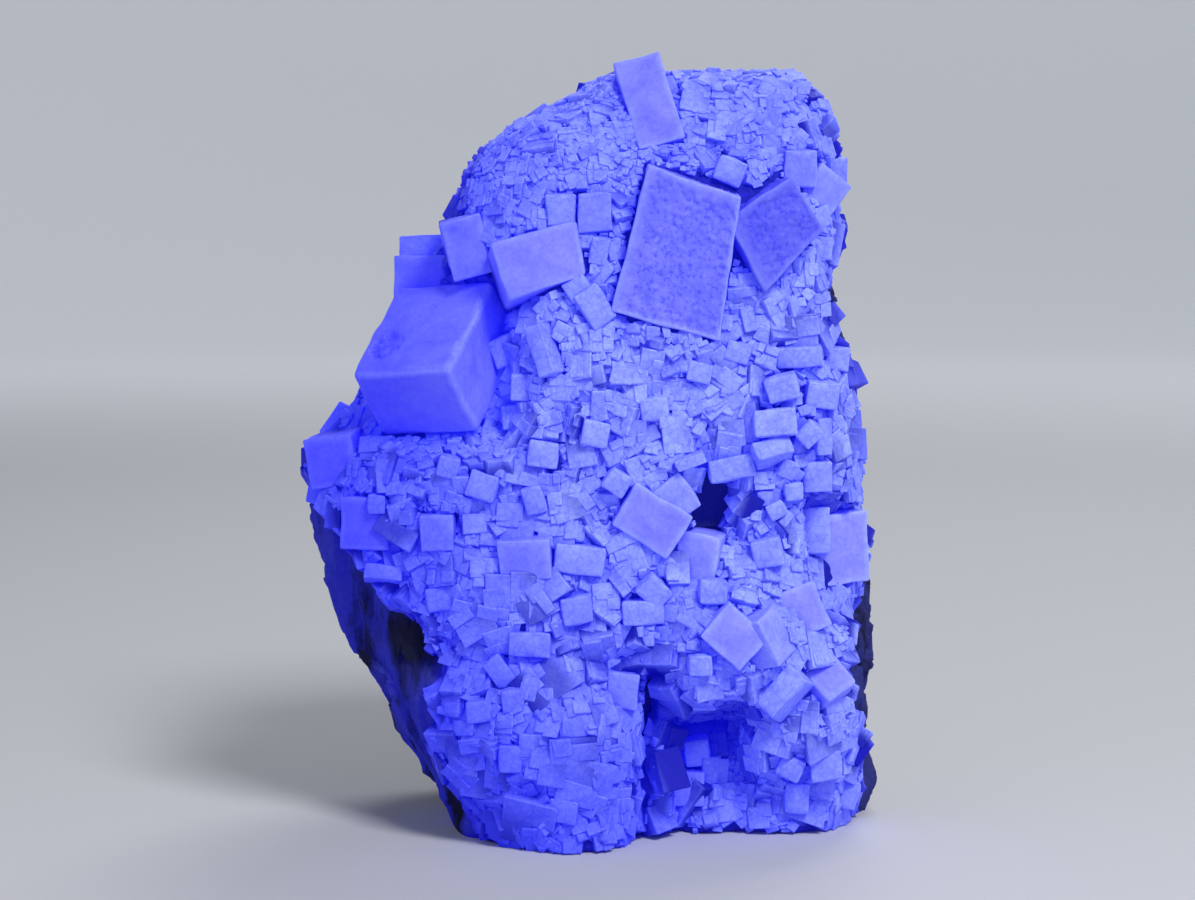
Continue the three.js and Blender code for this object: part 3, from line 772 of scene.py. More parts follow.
FIELD_TILES = (
    (-28, 90.5, 4, 5, 5, -5),
    (-33, 84.5, 4.5, 4.5, 5, 15),
    (-41, 93, 4, 4.5, 5, -16),
    (-18, 95, 6.5, 5.5, 6, -4),
    (-12, 87.5, 6.5, 6, 6, 7),
    (-0.5, 92, 6, 5.5, 6, 11),
    (12.5, 97.5, 6, 5, 6, -5),
    (22.5, 105.5, 5.5, 4.5, 5, 14),
    (31, 110, 5.5, 4.5, 5, 15),
    (-25.5, 80.5, 6.5, 6, 6, 18),
    (-14, 77.5, 4.5, 6, 5, -14),
)
CRYSTALS = {
    "great_cube": Crystal(-39, 115, 25, 30, 19, -6.5, -51, -31, 21, Growth.WORN),
    "step_block": Crystal(-40.5, 125.5, 12.5, 9.5, 16, -1, -5, 0, 8.5),
    "rear_block": Crystal(-39, 132, 14, 6, 10, -2, -20, 0, -2),
    "shoulder_tile": Crystal(-29, 132.5, 9.5, 13.5, 12, -14.5, 0, 0, 3),
    "hood_block": Crystal(
        -12.5, 130, 20, 14, 17, -16, -14, 4.5, 4, Growth.SMOOTH,
        ((0.1, 0.1), (0.9, -0.1), (-1.2, 1.3), (0.6, 0.2)),
    ),
    "frosted_plate": Crystal(
        18, 131.5, 23.5, 33, 14, 13, 2.5, -1, 5, Growth.FROSTED,
        ((0.6, 0.8), (-1.6, -1.4), (1.3, -0.3), (0.0, 0.7)), 0.2,
    ),
    "leaning_plate": Crystal(
        39.5, 137, 18.5, 16.5, 13, -35.5, -2, 14, 6.5, Growth.FROSTED,
        ((0.9, 0.3), (0.2, -0.9), (-0.6, 1.9), (-1.1, -1.6)), 0.6,
    ),
    "crown_blade": Crystal(11.5, 165.5, 10.5, 23, 12, -17, -30, -8, 3),
    "crown_chip": Crystal(16, 168, 4, 5.5, 8, -20, 0, 0, 1),
    "crown_tile": Crystal(45.5, 150, 7.5, 8, 8, 2, 0, 5, 1.5),
    "crown_corner": Crystal(51.5, 145.5, 8.5, 9, 9, -51, 0, 20, 2),
    "crown_rim": Crystal(54.5, 149.5, 6, 6, 6, 0, 0, 30, 2),
    "plate_neighbour": Crystal(29.5, 149.5, 6.5, 5.5, 6, 22, 0, 0, 1.5),
    "hood_twin_left": Crystal(-8, 141, 6.5, 7, 7, -2, 0, 0, 2),
    "hood_twin_right": Crystal(-0.5, 140.5, 7.5, 8.5, 8, -2, 0, 0, 2),
    "hood_wedge": Crystal(-0.5, 120, 6, 9, 7, -32, 0, 0, 2),
    "hood_chip": Crystal(-4.5, 124, 5.5, 5, 5, -34, 0, 0, 1.5),
    "hood_side": Crystal(0.5, 132, 4, 6, 5, 11, 0, 0, 1.5),
    "ledge_cube": Crystal(-60, 84.5, 11.5, 11.5, 11, -9, 0, -10, 3),
    "ledge_wedge": Crystal(-60, 91.5, 9, 6.5, 8, -63, -20, -20, 3),
    "ledge_chip": Crystal(-64, 76.5, 4.5, 4.5, 5, 13, 0, -30, 1),
    "waist_lump": Crystal(-52, 71.5, 11, 11.5, 11, -1, 0, -15, 2),
    "waist_tile": Crystal(-35.5, 70, 7.5, 8, 8, -3, 0, 0, 2),
    "waist_chip": Crystal(-49, 76, 4, 4, 5, 0, 0, 0, 3),
    "waist_strip": Crystal(-47.5, 61, 8.5, 3.5, 6, 5, -15, 0, 2),
    "middle_block": Crystal(-16, 64.5, 11.5, 9, 10, -4, 0, 0, 3),
    "middle_twin": Crystal(-4, 64.5, 11, 6.5, 9, 7, 0, 0, 2),
    "middle_rhomb": Crystal(12, 73, 14.5, 11, 9, 32, 0, 0, 2.5),
    "rhomb_rider": Crystal(17.5, 78, 7.5, 8.5, 8, -36, 0, 0, 3.5),
    "rhomb_crest": Crystal(20.5, 86, 6.5, 2.5, 6, -23, 0, 0, 4.5),
    "rhomb_side": Crystal(4.5, 81.5, 5.5, 5, 6, 35, 0, 0, 2.5),
    "hollow_cube": Crystal(21.7, 64.5, 9.5, 11, 8, 7, 0, -15, 0.5),
    "shield": Crystal(30, 48.5, 10, 11.5, 11, -49, 0, 0, 4),
    "shield_prism": Crystal(39.5, 48.5, 8, 11.5, 9, -21, -14, 49, 4),
    "corner_block": Crystal(49.5, 40.5, 16, 9.5, 10, 60, -37, 18, 0.5, Growth.SMOOTH),
    "corner_cap": Crystal(45, 52.5, 11.5, 10.5, 9, -19, -15, 10, 2.5),
    "lower_prism": Crystal(40, 36, 5.5, 11.5, 8, 38, -20, -20, 4),
    "wall_face": Crystal(54, 64, 16.5, 16.5, 14, -3, 0, 20, 1),
    "wall_step": Crystal(49.5, 69, 6, 10.5, 8, -1, 0, 5, 2.5),
    "brow_block": Crystal(29.5, 84.5, 10, 5, 8, -10, -10, 0, 3.5),
    "brow_wedge": Crystal(38.5, 89.5, 8.5, 4.5, 8, -17, -25, 0, 4),
    "stack_low": Crystal(39, 95, 9, 6, 7, -4, -10, 0, 4),
    "stack_high": Crystal(40.5, 102, 7, 5.5, 6, -15, 0, 0, 3.5),
    "stack_side": Crystal(50, 100, 7.5, 6, 7, 8, 0, 10, 3),
    "column_tile": Crystal(46.5, 92, 5, 4.5, 5, -44, 0, 0, 4),
    "column_side": Crystal(50.5, 91, 3.5, 8, 6, -1, 0, 20, 2),
    "column_foot": Crystal(49, 82, 6.5, 7, 7, -1, 0, 10, 2.5),
    "column_chip": Crystal(43.5, 79, 4, 4, 5, -3, 0, 0, 3),
    "edge_leaf": Crystal(57.5, 84.5, 4, 7.5, 6, 6, 0, 40, -3),
    "pillar_tile": Crystal(37.5, 65.5, 6.5, 6, 6, -13, 0, 0, 3),
    "pillar_chip": Crystal(39.5, 75, 4, 3.5, 5, -29, 0, 0, 3),
    "brow_tile": Crystal(44.5, 108.5, 10.5, 4.5, 7, -5, 0, 0, 2),
    "brow_edge": Crystal(54, 107.5, 6.5, 5.5, 6, 5, 0, 25, 1),
    "ridge_block": Crystal(-13, 110.5, 4, 11.5, 8, -22, 0, -25, 4.5),
    "ridge_tile": Crystal(-20.5, 109.5, 7, 6.5, 7, -22, 0, 0, 3.5),
    "ridge_foot": Crystal(-16, 102, 6, 6, 6, 1, 0, 0, 2),
    "apron_left": Crystal(10, 53, 9, 5.5, 7, -3, 0, 0, 1.5),
    "apron_middle": Crystal(12.5, 57.5, 6.5, 5.5, 6, 46, 0, 0, 2.5),
    "apron_right": Crystal(25.5, 57.5, 6, 5.5, 6, 2, 0, 0, 3),
    "apron_low": Crystal(22.5, 42, 5, 4.5, 5, 0, 0, 0, 3),
    "lobe_top": Crystal(-21.5, 39.5, 4.5, 7.5, 6, -39, 0, 0, 1.5),
    "lobe_upper": Crystal(-18.5, 34, 5, 5, 5, -3, 0, 0, 1.5),
    "lobe_left": Crystal(-26, 31.5, 5.5, 5, 5, -5, 0, 0, 1.5),
    "lobe_middle": Crystal(-19, 21.5, 5, 6, 6, 0, 0, 0, 1.5),
    "lobe_right": Crystal(5.5, 35.5, 7, 8, 7, 6, 0, 0, 1.5),
    "lobe_low": Crystal(-7.5, 10, 6.5, 5, 6, 8, 0, 0, 1.5),
    "lobe_brow": Crystal(-15, 46, 9, 5.5, 7, 2, 0, 0, 1.5),
    "foot_tile": Crystal(22.5, 18.5, 5.5, 6, 6, -7, 0, 0, 3),
    "foot_block": Crystal(19.5, 10.5, 9.5, 8, 9, 0, 0, 0, 3),
    "foot_upper": Crystal(43, 17, 5.5, 5, 5, 25, 0, 0, 2),
    "foot_right": Crystal(51, 17, 7, 6.5, 7, -9, 0, 0, 2),
    "foot_low": Crystal(45, 9, 5.5, 7, 7, 2, 0, 0, 2),
    "foot_corner": Crystal(56.5, 8, 6, 6.5, 6, 13, 0, 0, 2),
    "bay_tile": Crystal(-35, 55.5, 5.5, 5.5, 6, -11),
    "saddle_tile": Crystal(-4.5, 53.5, 6.5, 6, 6, -8),
    **{f"field_tile_{number}": Crystal(*values) for number, values in enumerate(FIELD_TILES, 1)},
}


WORN_PIT = RoundPatch(-7.2, -5.6, 3.8, 5.6)  # on the upper face of the great cube, from its middle


def edge_spaced(half: float, radius: float, spacing: float) -> Array:
    """Places across a face: some close to each edge for its rounding, the rest evenly spread.

    Args:
        half: half of the face's width.
        radius: the edge radius.
        spacing: the distance between the evenly spread ones.

    Returns:
        The places in rising order.
    """
    inner = half - radius
    count = max(2, int(round(2 * inner / spacing)) + 1)
    flat = np.linspace(-inner, inner, count)
    bend = radius * np.array([0.35, 0.75])
    return np.concatenate([[-half], -half + radius - bend[::-1], flat, half - radius + bend, [half]])


@dataclass
class CubeMaker:
    """Makes large crystals as fine surfaces with rounded edges, growth steps and pits. All in mm."""

    block: Block
    radius: float = 0.5
    soft_radius: float = 1.5
    spacing: float = 0.8
    fine_spacing: float = 0.42
    waviness: float = 0.30
    terrace_height: float = 0.14
    broad_rim: float = 2.3
    fading: float = 0.3

    def terraces(self, seed: int, place: Array, half_across: float, half_up: float) -> Array:
        """Two rectangles with wavy rims that overlap as they fall, each a low step high.

        Args:
            seed: picks the face's own pattern.
            place: places across and up the face.
            half_across: half of its width.
            half_up: half of its height.

        Returns:
            Heights in mm.
        """
        draw = np.random.default_rng(seed)
        wobble = 0.35 * lattice_noise(place, 2.5, seed + 5)
        height = np.zeros(place.shape[:-1])
        for _ in range(2):
            shrink = draw.uniform(0.45, 0.80)
            shift = draw.uniform(-0.5, 0.5, 2)
            across = half_across * shrink - np.abs(place[..., 0] - shift[0] * half_across)
            up = half_up * shrink - np.abs(place[..., 1] - shift[1] * half_up)
            height += self.terrace_height * smoothstep(-0.2, 0.2, np.minimum(across, up) + wobble)
        return height

    def frost(self, seed: int, place: Array, half_across: float, half_up: float) -> Array:
        """How frosted a face is, from 0 on its rim to 1: the rim is broad on the left and on top.

        Args:
            seed: picks the face's own pattern.
            place: places across and up the face.
            half_across: half of its width.
            half_up: half of its height.

        Returns:
            The share of frost.
        """
        across, up = place[..., 0], place[..., 1]
        broad = np.minimum(half_across + across, half_up - up)
        narrow = np.minimum(half_across - across, half_up + up) * 2.6
        ragged = 1.3 * layered_noise(place, 2.2, seed + 2)
        return smoothstep(-0.7, 0.8, np.minimum(broad, narrow) - self.broad_rim + ragged)

    @staticmethod
    def growth_step(place: Array) -> tuple[Array, Array]:
        """The upper face of the great cube: a low step on its lower right, and a worn pit on its left.

        Args:
            place: places across and up the face.

        Returns:
            Heights in mm, and how worn the face is, from 0 to 1.
        """
        across, up = place[..., 0], place[..., 1]
        wavy = 0.5 * lattice_noise(place, 4.0, 71)
        step = 0.7 * (1 - smoothstep(-5.6, -5.0, up + 0.15 * wavy)) * smoothstep(-1.5, 1.5, across + wavy)
        ragged = 0.6 * layered_noise(place, 2.6, 73)
        worn = 1 - smoothstep(0.5, 1.1, WORN_PIT.distance(across, up) + ragged)
        return step - worn * np.maximum(0.0, 0.5 + 0.9 * lattice_noise(place, 1.1, 77)), worn

    def face_relief(
        self, growth: Growth, seed: int, place: Array, half: tuple[float, float], front: bool,
    ) -> tuple[Array, Array]:
        """Height of a face over its plane, from its growth, faded out at the edges.

        Args:
            growth: how the face has grown.
            seed: picks the face's own pattern.
            place: places across and up the face.
            half: half of its width and height.
            front: whether it is the crystal's front face.

        Returns:
            Heights in mm, and how frosted or worn the face is, from 0 to 1.
        """
        edge = np.minimum(half[0] - np.abs(place[..., 0]), half[1] - np.abs(place[..., 1]))
        height = 0.10 * lattice_noise(place, 5.0, seed)
        worn = np.zeros_like(height)
        if growth is Growth.TERRACED:
            height += self.terraces(seed, place, *half)
        if growth in (Growth.WORN, Growth.SMOOTH):
            height += 0.35 * lattice_noise(place, 9.0, seed + 1)
        if growth is Growth.WORN and front:
            step, worn = self.growth_step(place)
            height += step
        if growth is Growth.FROSTED:
            worn = self.frost(seed, place, *half)
            grain = lattice_noise(place, 1.1, seed + 3) + 0.8 * lattice_noise(place, 0.55, seed + 4)
            height -= worn * (0.32 + 0.24 * grain)
        return height * smoothstep(0.1, 1.2, edge), worn

    def side(
        self, crystal: Crystal, seed: int, axis: int, end: int, lines: list[Array], radius: float,
    ) -> Shape:
        """One side of a crystal in its own axes, with rounded edges and its relief.

        A point of the plain box is first drawn in to the box less the edge radius, then pushed out
        again by the radius along the line between the two, which rounds every edge and corner.

        Args:
            crystal: the crystal.
            seed: picks its patterns.
            axis: the axis that the side lies across.
            end: the end of that axis, -1 or 1.
            lines: places of the grid's lines along each axis.
            radius: the edge radius.

        Returns:
            The side, with how worn it is, the place on it and its half size.
        """
        half = crystal.half
        first, second = (axis + 1) % 3, (axis + 2) % 3
        u, v = np.meshgrid(lines[first], lines[second], indexing="ij")
        box = np.empty(u.shape + (3,))
        box[..., axis], box[..., first], box[..., second] = end * half[axis], u, v
        core = np.clip(box, -(half - radius), half - radius)
        points = core + radius * unit(box - core)
        turned = -1 if axis == 1 else 1  # across and up change places on the front and the back
        size = (half[first], half[second])[::turned]
        face_seed = seed * 6 + axis * 2 + (end > 0)
        place = np.stack([*(u, v)[::turned], np.full(u.shape, 3.7 * face_seed)], -1)
        relief, worn = self.face_relief(crystal.growth, face_seed, place, size, axis == 1 and end < 0)
        points[..., axis] += end * relief
        number = np.arange(u.size).reshape(u.shape)
        ring = [number[:-1, :-1], number[1:, :-1], number[1:, 1:], number[:-1, 1:]]
        faces = np.stack(ring[::end], -1).reshape(-1, 4)
        spot = np.stack([u, v, np.zeros_like(u)], -1).reshape(-1, 3)[faces.ravel()]
        spot_limit = np.tile([half[first], half[second], 0.0], (faces.size, 1))
        corner_values = {"face_place": spot, "face_half": spot_limit}
        return Shape(points.reshape(-1, 3), [faces], {"worn": worn.ravel()}, corner_values)

    def shape(self, crystal: Crystal, seed: int) -> Shape:
        """One crystal as a closed surface, its six sides joined along their shared edges.

        Args:
            crystal: the crystal.
            seed: picks its patterns.

        Returns:
            Its surface, with all values that the crystals' finish reads.
        """
        soft = crystal.growth in (Growth.SMOOTH, Growth.WORN)
        spacing = self.fine_spacing if crystal.growth in (Growth.FROSTED, Growth.WORN) else self.spacing
        radius = min(self.soft_radius if soft else self.radius, crystal.half.min() * 0.2)
        lines = [edge_spaced(size, radius, spacing) for size in crystal.half]
        ends = itertools.product(range(3), (-1, 1))
        sides = Shape.joined([self.side(crystal, seed, axis, end, lines, radius) for axis, end in ends])
        _, kept, joined = np.unique(np.round(sides.points, 4), axis=0, return_index=True, return_inverse=True)
        local = sides.points[kept]
        world = crystal.warped(local) @ crystal.axes.T + crystal.middle(self.block)
        world = world + self.waviness * uneven(world, 4.5, 641)
        same = np.ones(len(world))
        values = {
            # How far a point stands out, which sets its painted crevice shade.
            "proud": (crystal.proud - local[:, 1] - crystal.half[1]) * self.fading + 1.5,
            "below": same * 0.0,
            "tint": same * np.random.default_rng(seed).normal(0, 0.5),
            "large": same * float(smoothstep(5.0, 11.0, min(crystal.width, crystal.height))),
            "worn": sides.point_values["worn"][kept],
            # Painted shade: from the front above at half strength, or the crystal's own painted shade.
            "shade": np.maximum(self.block.shade(world) * 0.5, crystal.painted_shade),
        }
        return Shape(world, [joined.ravel()[sides.faces[0]]], values, sides.corner_values)


# ---------------------------------------------------------------- small crystals


@dataclass(frozen=True)
class Region(RoundPatch):
    """A soft part of the crust with crystals of its own size and standing."""

    size: float
    proud: float


REGIONS = (
    Region(-12, 152, 26, 12, 0.66, 0.5),
    Region(18, 152, 14, 5, 0.50, 0.8),
    Region(42, 160, 18, 12, 0.80, 0.9),
    Region(10, 108, 18, 14, 0.85, 1.0),
    Region(46, 100, 14, 16, 1.20, 1.5),
    Region(-40, 76, 22, 14, 1.00, 1.0),
    Region(-20, 56, 20, 16, 1.20, 1.0),
    Region(-16, 20, 26, 26, 1.20, 0.7),
    Region(36, 76, 6, 14, 0.85, 1.0),
    Region(28, 32, 10, 8, 0.60, 1.2),
    Region(45, 16, 16, 14, 1.10, 0.9),
)


@dataclass(frozen=True)
class Pit(RoundPatch):
    """A place where the crust stayed open: lower ground with only druse on it."""

    depth: float = 1.2


PITS = (
    Pit(8.5, 43.0, 5.5, 1.0, 2.4),
    Pit(-45, 93, 4.5, 2.2),
    Pit(-44, 82.5, 2.2, 2.8),
    Pit(-38, 76.5, 3.5, 2.6),
    Pit(-30.5, 72, 2.2, 3.0),
    Pit(-44.5, 65.5, 3.0, 2.0),
    Pit(-20, 94, 2.6, 2.0),
    Pit(-6.8, 94, 1.1, 9.0, 2.4),
    Pit(5.0, 101.5, 2.0, 1.4),
    Pit(0.5, 74.5, 2.6, 1.2, 1.6),
    Pit(11, 111, 1.6, 1.2),
    Pit(27, 154, 6.0, 2.4),
    Pit(12, 155, 2.6, 1.4),
    Pit(31, 68, 2.0, 5.0),
    Pit(60, 47, 3.0, 9.0, 0.8),
    Pit(32, 32, 7.0, 3.0, 1.6),
    Pit(30, 13, 4.0, 5.0),
    Pit(-32, 46.5, 2.6, 1.4),
    Pit(-36, 14, 2.2, 1.6),
    Pit(-6, 49, 3.0, 1.2),
    Pit(54, 121, 3.6, 12.0, 1.5),
    Pit(46, 74, 2.0, 5.0, 1.0),
)


def openness(x: Array, z: Array) -> tuple[Array, Array]:
    """How open the crust is at a place, and how much lower its ground lies there.

    Each pit counts by exp(-d^4) of its own scaled distance, which is flat inside and steep at its rim.

    Args:
        x: places across.
        z: heights.

    Returns:
        The openness from 0 to 1, and the lowering in mm.
    """
    share, lower = np.zeros(np.shape(x)), np.zeros(np.shape(x))
    for pit in PITS:
        within = np.exp(-np.minimum(pit.distance(x, z), 30) ** 2)
        share = np.maximum(share, within)
        lower = np.maximum(lower, within * pit.depth)
    return share, lower


def regional(points: Array, quality: str) -> Array:
    """A quality of the regions at given points, 1 where no region reaches.

    Each region counts by exp(-d^2) of its own scaled distance, and the plain value by a constant.

    Args:
        points: places in mm, one to a row.
        quality: the name of a region's field.

    Returns:
        One value for each point.
    """
    total = np.full(len(points), 0.15)
    summed = total.copy()
    for region in REGIONS:
        weight = np.exp(-region.distance(points[:, 0], points[:, 2]))
        total += weight
        summed += weight * getattr(region, quality)
    return summed / total


UNEVENNESS = 0.22  # how far corners are moved, as a share of the crystal's least half size
LOWEST = 0.05  # least height of a corner over the floor, in mm
LEFTMOST = -68.4  # least x of a corner, in mm


@dataclass(frozen=True)
class Sowing:
    """One round of small crystals: sizes and levels in mm, tilt in degrees.

    Closeness is the least distance between two neighbours, as a share of their mean size. Twinned is
    the share of crystals that carry a smaller one in the same position on their face.
    """

    tries: int
    least: float
    most: float
    closeness: float
    low: float
    high: float
    tilt: float
    chamfer: float
    twinned: float
    in_pits: bool
    seed: int


@dataclass
class Crystals:
    """Many small cubes as arrays: middles, axes as columns, half sizes, chamfers, and their roots."""

    middle: Array
    axes: Array
    half: Array
    chamfer: Array
    root: Array
    outward: Array
    tint: Array

    @staticmethod
    def joined(sets: list["Crystals"]) -> "Crystals":
        """Put several sets into one."""
        names = Crystals.__dataclass_fields__
        return Crystals(*(np.concatenate([getattr(one, name) for one in sets]) for name in names))

    def picked(self, mask: Array) -> "Crystals":
        """Those where the mask is true."""
        return Crystals(*(getattr(self, name)[mask] for name in self.__dataclass_fields__))

    def shape(self, block: Block) -> Shape:
        """All cubes as one shape: six faces each, with flat chamfers along edges and corners.

        A corner of the cube becomes three points. Each lies on one of the three faces that meet
        there, drawn in from the other two by the chamfer.

        Args:
            block: what shades them.

        Returns:
            The shape, with all values that the crystals' finish reads.
        """
        signs, inset, faces = chamfered_cube()
        local = signs * (self.half[:, None, :] - self.chamfer[:, None, None] * inset)
        world = self.middle[:, None, :] + np.einsum("nij,nkj->nki", self.axes, local)
        world = world + self.half.min(axis=1)[:, None, None] * UNEVENNESS * uneven(world, 2.3, 611)
        world = np.maximum(world, [LEFTMOST, -np.inf, LOWEST])
        # Height over the root and depth below the crystal's top, which set its painted crevice shade.
        height = np.einsum("nkj,nj->nk", world - self.root[:, None, :], self.outward)
        below = height.max(axis=1, keepdims=True) - height
        count, corners = len(self.middle), len(signs)
        # Painted shade: from the front above, and in part over the pits.
        shade = np.maximum(block.shade(self.root), 0.55 * openness(self.root[:, 0], self.root[:, 2])[0])
        start = np.arange(count)[:, None, None] * corners
        rows = [(face[None] + start).reshape(-1, face.shape[1]) for face in faces]
        values = {
            "proud": height.ravel(), "below": below.ravel(), "tint": np.repeat(self.tint, corners),
            "large": np.zeros(count * corners), "worn": np.zeros(count * corners),
            "shade": np.repeat(shade, corners),
        }
        return Shape(world.reshape(-1, 3), rows, values, self.face_values(signs, inset, faces))

    def face_values(self, signs: Array, inset: Array, faces: list[Array]) -> dict[str, Array]:
        """For each corner of each face, its place on the face and the face's half size.

        A chamfer counts as an edge all over, so its place equals its half size.

        Args:
            signs: the signs of the cube's points.
            inset: the axes along which each is drawn in.
            faces: the faces, the six squares first.

        Returns:
            The places and the half sizes, in the order of the faces' corners.
        """
        places, halves = [], []
        for corners in faces[0]:
            axis = int(np.argmin(inset[corners[0]]))
            across = [(axis + 1) % 3, (axis + 2) % 3]
            size = np.zeros((len(self.half), 1, 3))
            size[:, 0, :2] = self.half[:, across]
            sign = np.zeros((4, 3))
            sign[:, :2] = signs[corners][:, across]
            halves.append(np.repeat(size, 4, axis=1))
            places.append(sign * (size - self.chamfer[:, None, None]))
        edge = np.ones((len(self.half) * (faces[1].size + faces[2].size), 3))
        return {
            key: np.concatenate([np.stack(values, 1).reshape(-1, 3), edge])
            for key, values in (("face_place", places), ("face_half", halves))
        }


def chamfered_cube() -> tuple[Array, Array, list[Array]]:
    """The pattern of a cube with flat chamfers.

    Returns:
        The signs of its 24 points, the axes along which each is drawn in, and its faces: six squares,
        then twelve edge chamfers, then eight corner triangles, all turned outwards.
    """
    corners = np.array(list(itertools.product((-1, 1), repeat=3)))
    signs = np.repeat(corners, 3, axis=0)
    inset = np.tile(1 - np.eye(3), (8, 1))
    spot = signs * (1 - 0.2 * inset)

    def outward(rows: list[Array]) -> Array:
        """Order each face's points round its middle so that it looks away from the cube's middle.

        Args:
            rows: the point numbers of each face.

        Returns:
            The same faces in order, one to a row.
        """
        ordered = []
        for row in rows:
            points = spot[row]
            middle = points.mean(axis=0)
            side = unit(points[0] - middle)
            up = unit(np.cross(middle, side))
            angle = np.arctan2((points - middle) @ up, (points - middle) @ side)
            ordered.append(row[np.argsort(angle)])
        return np.array(ordered)

    number = np.arange(24).reshape(8, 3)
    squares = [number[corners[:, axis] == end, axis] for axis, end in itertools.product(range(3), (-1, 1))]
    chamfers = []
    for pair, ends in itertools.product(([0, 1], [1, 2], [2, 0]), itertools.product((-1, 1), repeat=2)):
        along_edge = np.all(corners[:, pair] == ends, axis=1)
        chamfers.append(number[along_edge][:, pair].ravel())
    return signs, inset, [outward(squares), outward(chamfers), outward(list(number))]


@dataclass
class SmallCrystalField:
    """Small crystals sown over the ground, round after round, so that they grow into each other.

    Most crystals stand nearly upright, the rest are rolled any way. A few bold ones tip further out.
    Angles are in degrees.
    """

    block: Block
    ground: CrustGround
    upright_share: float = 0.62
    upright_roll: float = 13
    bold_share: float = 0.10
    bold_factor: float = 2.0
    mean_pitch: float = -4
    rider_sets: int = 3
    rider_lean: float = 4
    rounds: tuple[Sowing, ...] = (
        Sowing(14000, 4.8, 8.8, 0.62, -0.1, 1.1, 9, 0.18, 0.75, False, 101),
        Sowing(26000, 3.0, 4.8, 0.58, -0.3, 1.0, 9, 0.14, 0.5, False, 202),
        Sowing(44000, 1.8, 3.0, 0.58, -0.2, 0.8, 11, 0.10, 0.0, False, 303),
        Sowing(16000, 1.0, 1.8, 0.62, 0.0, 0.6, 25, 0.07, 0.0, True, 404),
    )

    def sow(self) -> list[Crystals]:
        """Work out every round of crystals.

        Returns:
            One set for each round.
        """
        taken = np.zeros((sum(sowing.tries for sowing in self.rounds), 4))
        used = 0
        sets = []
        for sowing in self.rounds:
            draw = np.random.default_rng(sowing.seed)
            weight = self.pits_only if sowing.in_pits else self.outside_pits
            place, outward, inside = self.ground.random_places(sowing.tries, weight, draw)
            size = blend(sowing.least, sowing.most, draw.random(sowing.tries) ** 1.5)
            size = size * regional(place, "size")
            clear = self.outside_large(place, size) & (inside > size * 0.35)
            keep = []
            for i in np.flatnonzero(clear):
                apart = taken[:used, :3] - place[i]
                reach = (taken[:used, 3] + size[i]) * 0.5 * sowing.closeness
                if np.all(np.einsum("ij,ij->i", apart, apart) > reach * reach):
                    taken[used] = [*place[i], size[i]]
                    used += 1
                    keep.append(i)
            sets.append(self.placed(sowing, place[keep], outward[keep], size[keep], draw))
        return sets

    @staticmethod
    def outside_pits(place: Array) -> Array:
        """Full density outside the pits, none inside them."""
        return (openness(place[:, 0], place[:, 2])[0] < 0.5).astype(float)

    @staticmethod
    def pits_only(place: Array) -> Array:
        """Full density inside the pits and close round them, little elsewhere."""
        return 0.12 + openness(place[:, 0], place[:, 2])[0]

    def outside_large(self, place: Array, size: Array) -> Array:
        """Whether each place is clear of every large crystal, seen in that crystal's own axes.

        Args:
            place: places on the ground.
            size: the size of the small crystal that would stand at each.

        Returns:
            One answer for each place.
        """
        clear = np.ones(len(place), bool)
        for crystal in CRYSTALS.values():
            local = (place - crystal.face_middle(self.block)) @ crystal.axes
            beside = np.max(np.abs(local[:, [0, 2]]) - crystal.half[[0, 2]], axis=1)
            behind = (local[:, 1] > -0.8) & (local[:, 1] < crystal.depth + 2)
            margin = size * (0.48 if min(crystal.width, crystal.height) > 14 else 0.30)
            clear &= ~((beside < margin) & behind)
        return clear

    def placed(
        self, sowing: Sowing, place: Array, outward: Array, size: Array, draw: np.random.Generator,
    ) -> Crystals:
        """Give each place its crystal: a cube with one face nearly along the ground.

        Args:
            sowing: the round.
            place: roots of the crystals on the ground.
            outward: the ground's outward directions.
            size: edge lengths.
            draw: stream of random numbers.

        Returns:
            The crystals, and after them the smaller twins that ride on their faces.
        """
        count = len(place)
        sideways = unit(np.cross(outward, np.array([0.0, 0.0, 1.0])) + np.array([1e-4, 0.0, 0.0]))
        upward = np.cross(sideways, outward)
        base = np.stack([-sideways, -outward, upward], -1)
        base[..., 0] *= np.sign(np.linalg.det(base))[:, None]
        upright = draw.random(count) < self.upright_share
        roll = np.where(upright, draw.normal(0, self.upright_roll, count), draw.uniform(-45, 45, count))
        bold = np.where(draw.random(count) < self.bold_share, self.bold_factor, 1.0)
        pitch = draw.normal(self.mean_pitch, sowing.tilt, count) * bold
        yaw = draw.normal(0, sowing.tilt, count) * bold
        axes = base @ turn_matrix(roll, pitch, yaw)
        half = size[:, None] * draw.uniform(0.78, 1.30, (count, 3)) / 2
        level = blend(sowing.low, sowing.high, draw.random(count)) * regional(place, "proud")
        middle = place + outward * (self.ground.sink + level - half[:, 1])[:, None]
        reach_down = np.einsum("ni,ni->n", np.abs(axes[:, 2, :]), half)
        middle[:, 2] = np.maximum(middle[:, 2], reach_down + 0.1)
        tint = draw.normal(0, 1, count)
        chamfer = np.minimum(sowing.chamfer * draw.uniform(0.7, 1.4, count), half.min(axis=1) * 0.3)
        crystals = Crystals(middle, axes, half, chamfer, place, outward, tint)
        riders = [self.twins(crystals, sowing, draw) for _ in range(self.rider_sets)]
        return Crystals.joined([crystals, *riders])

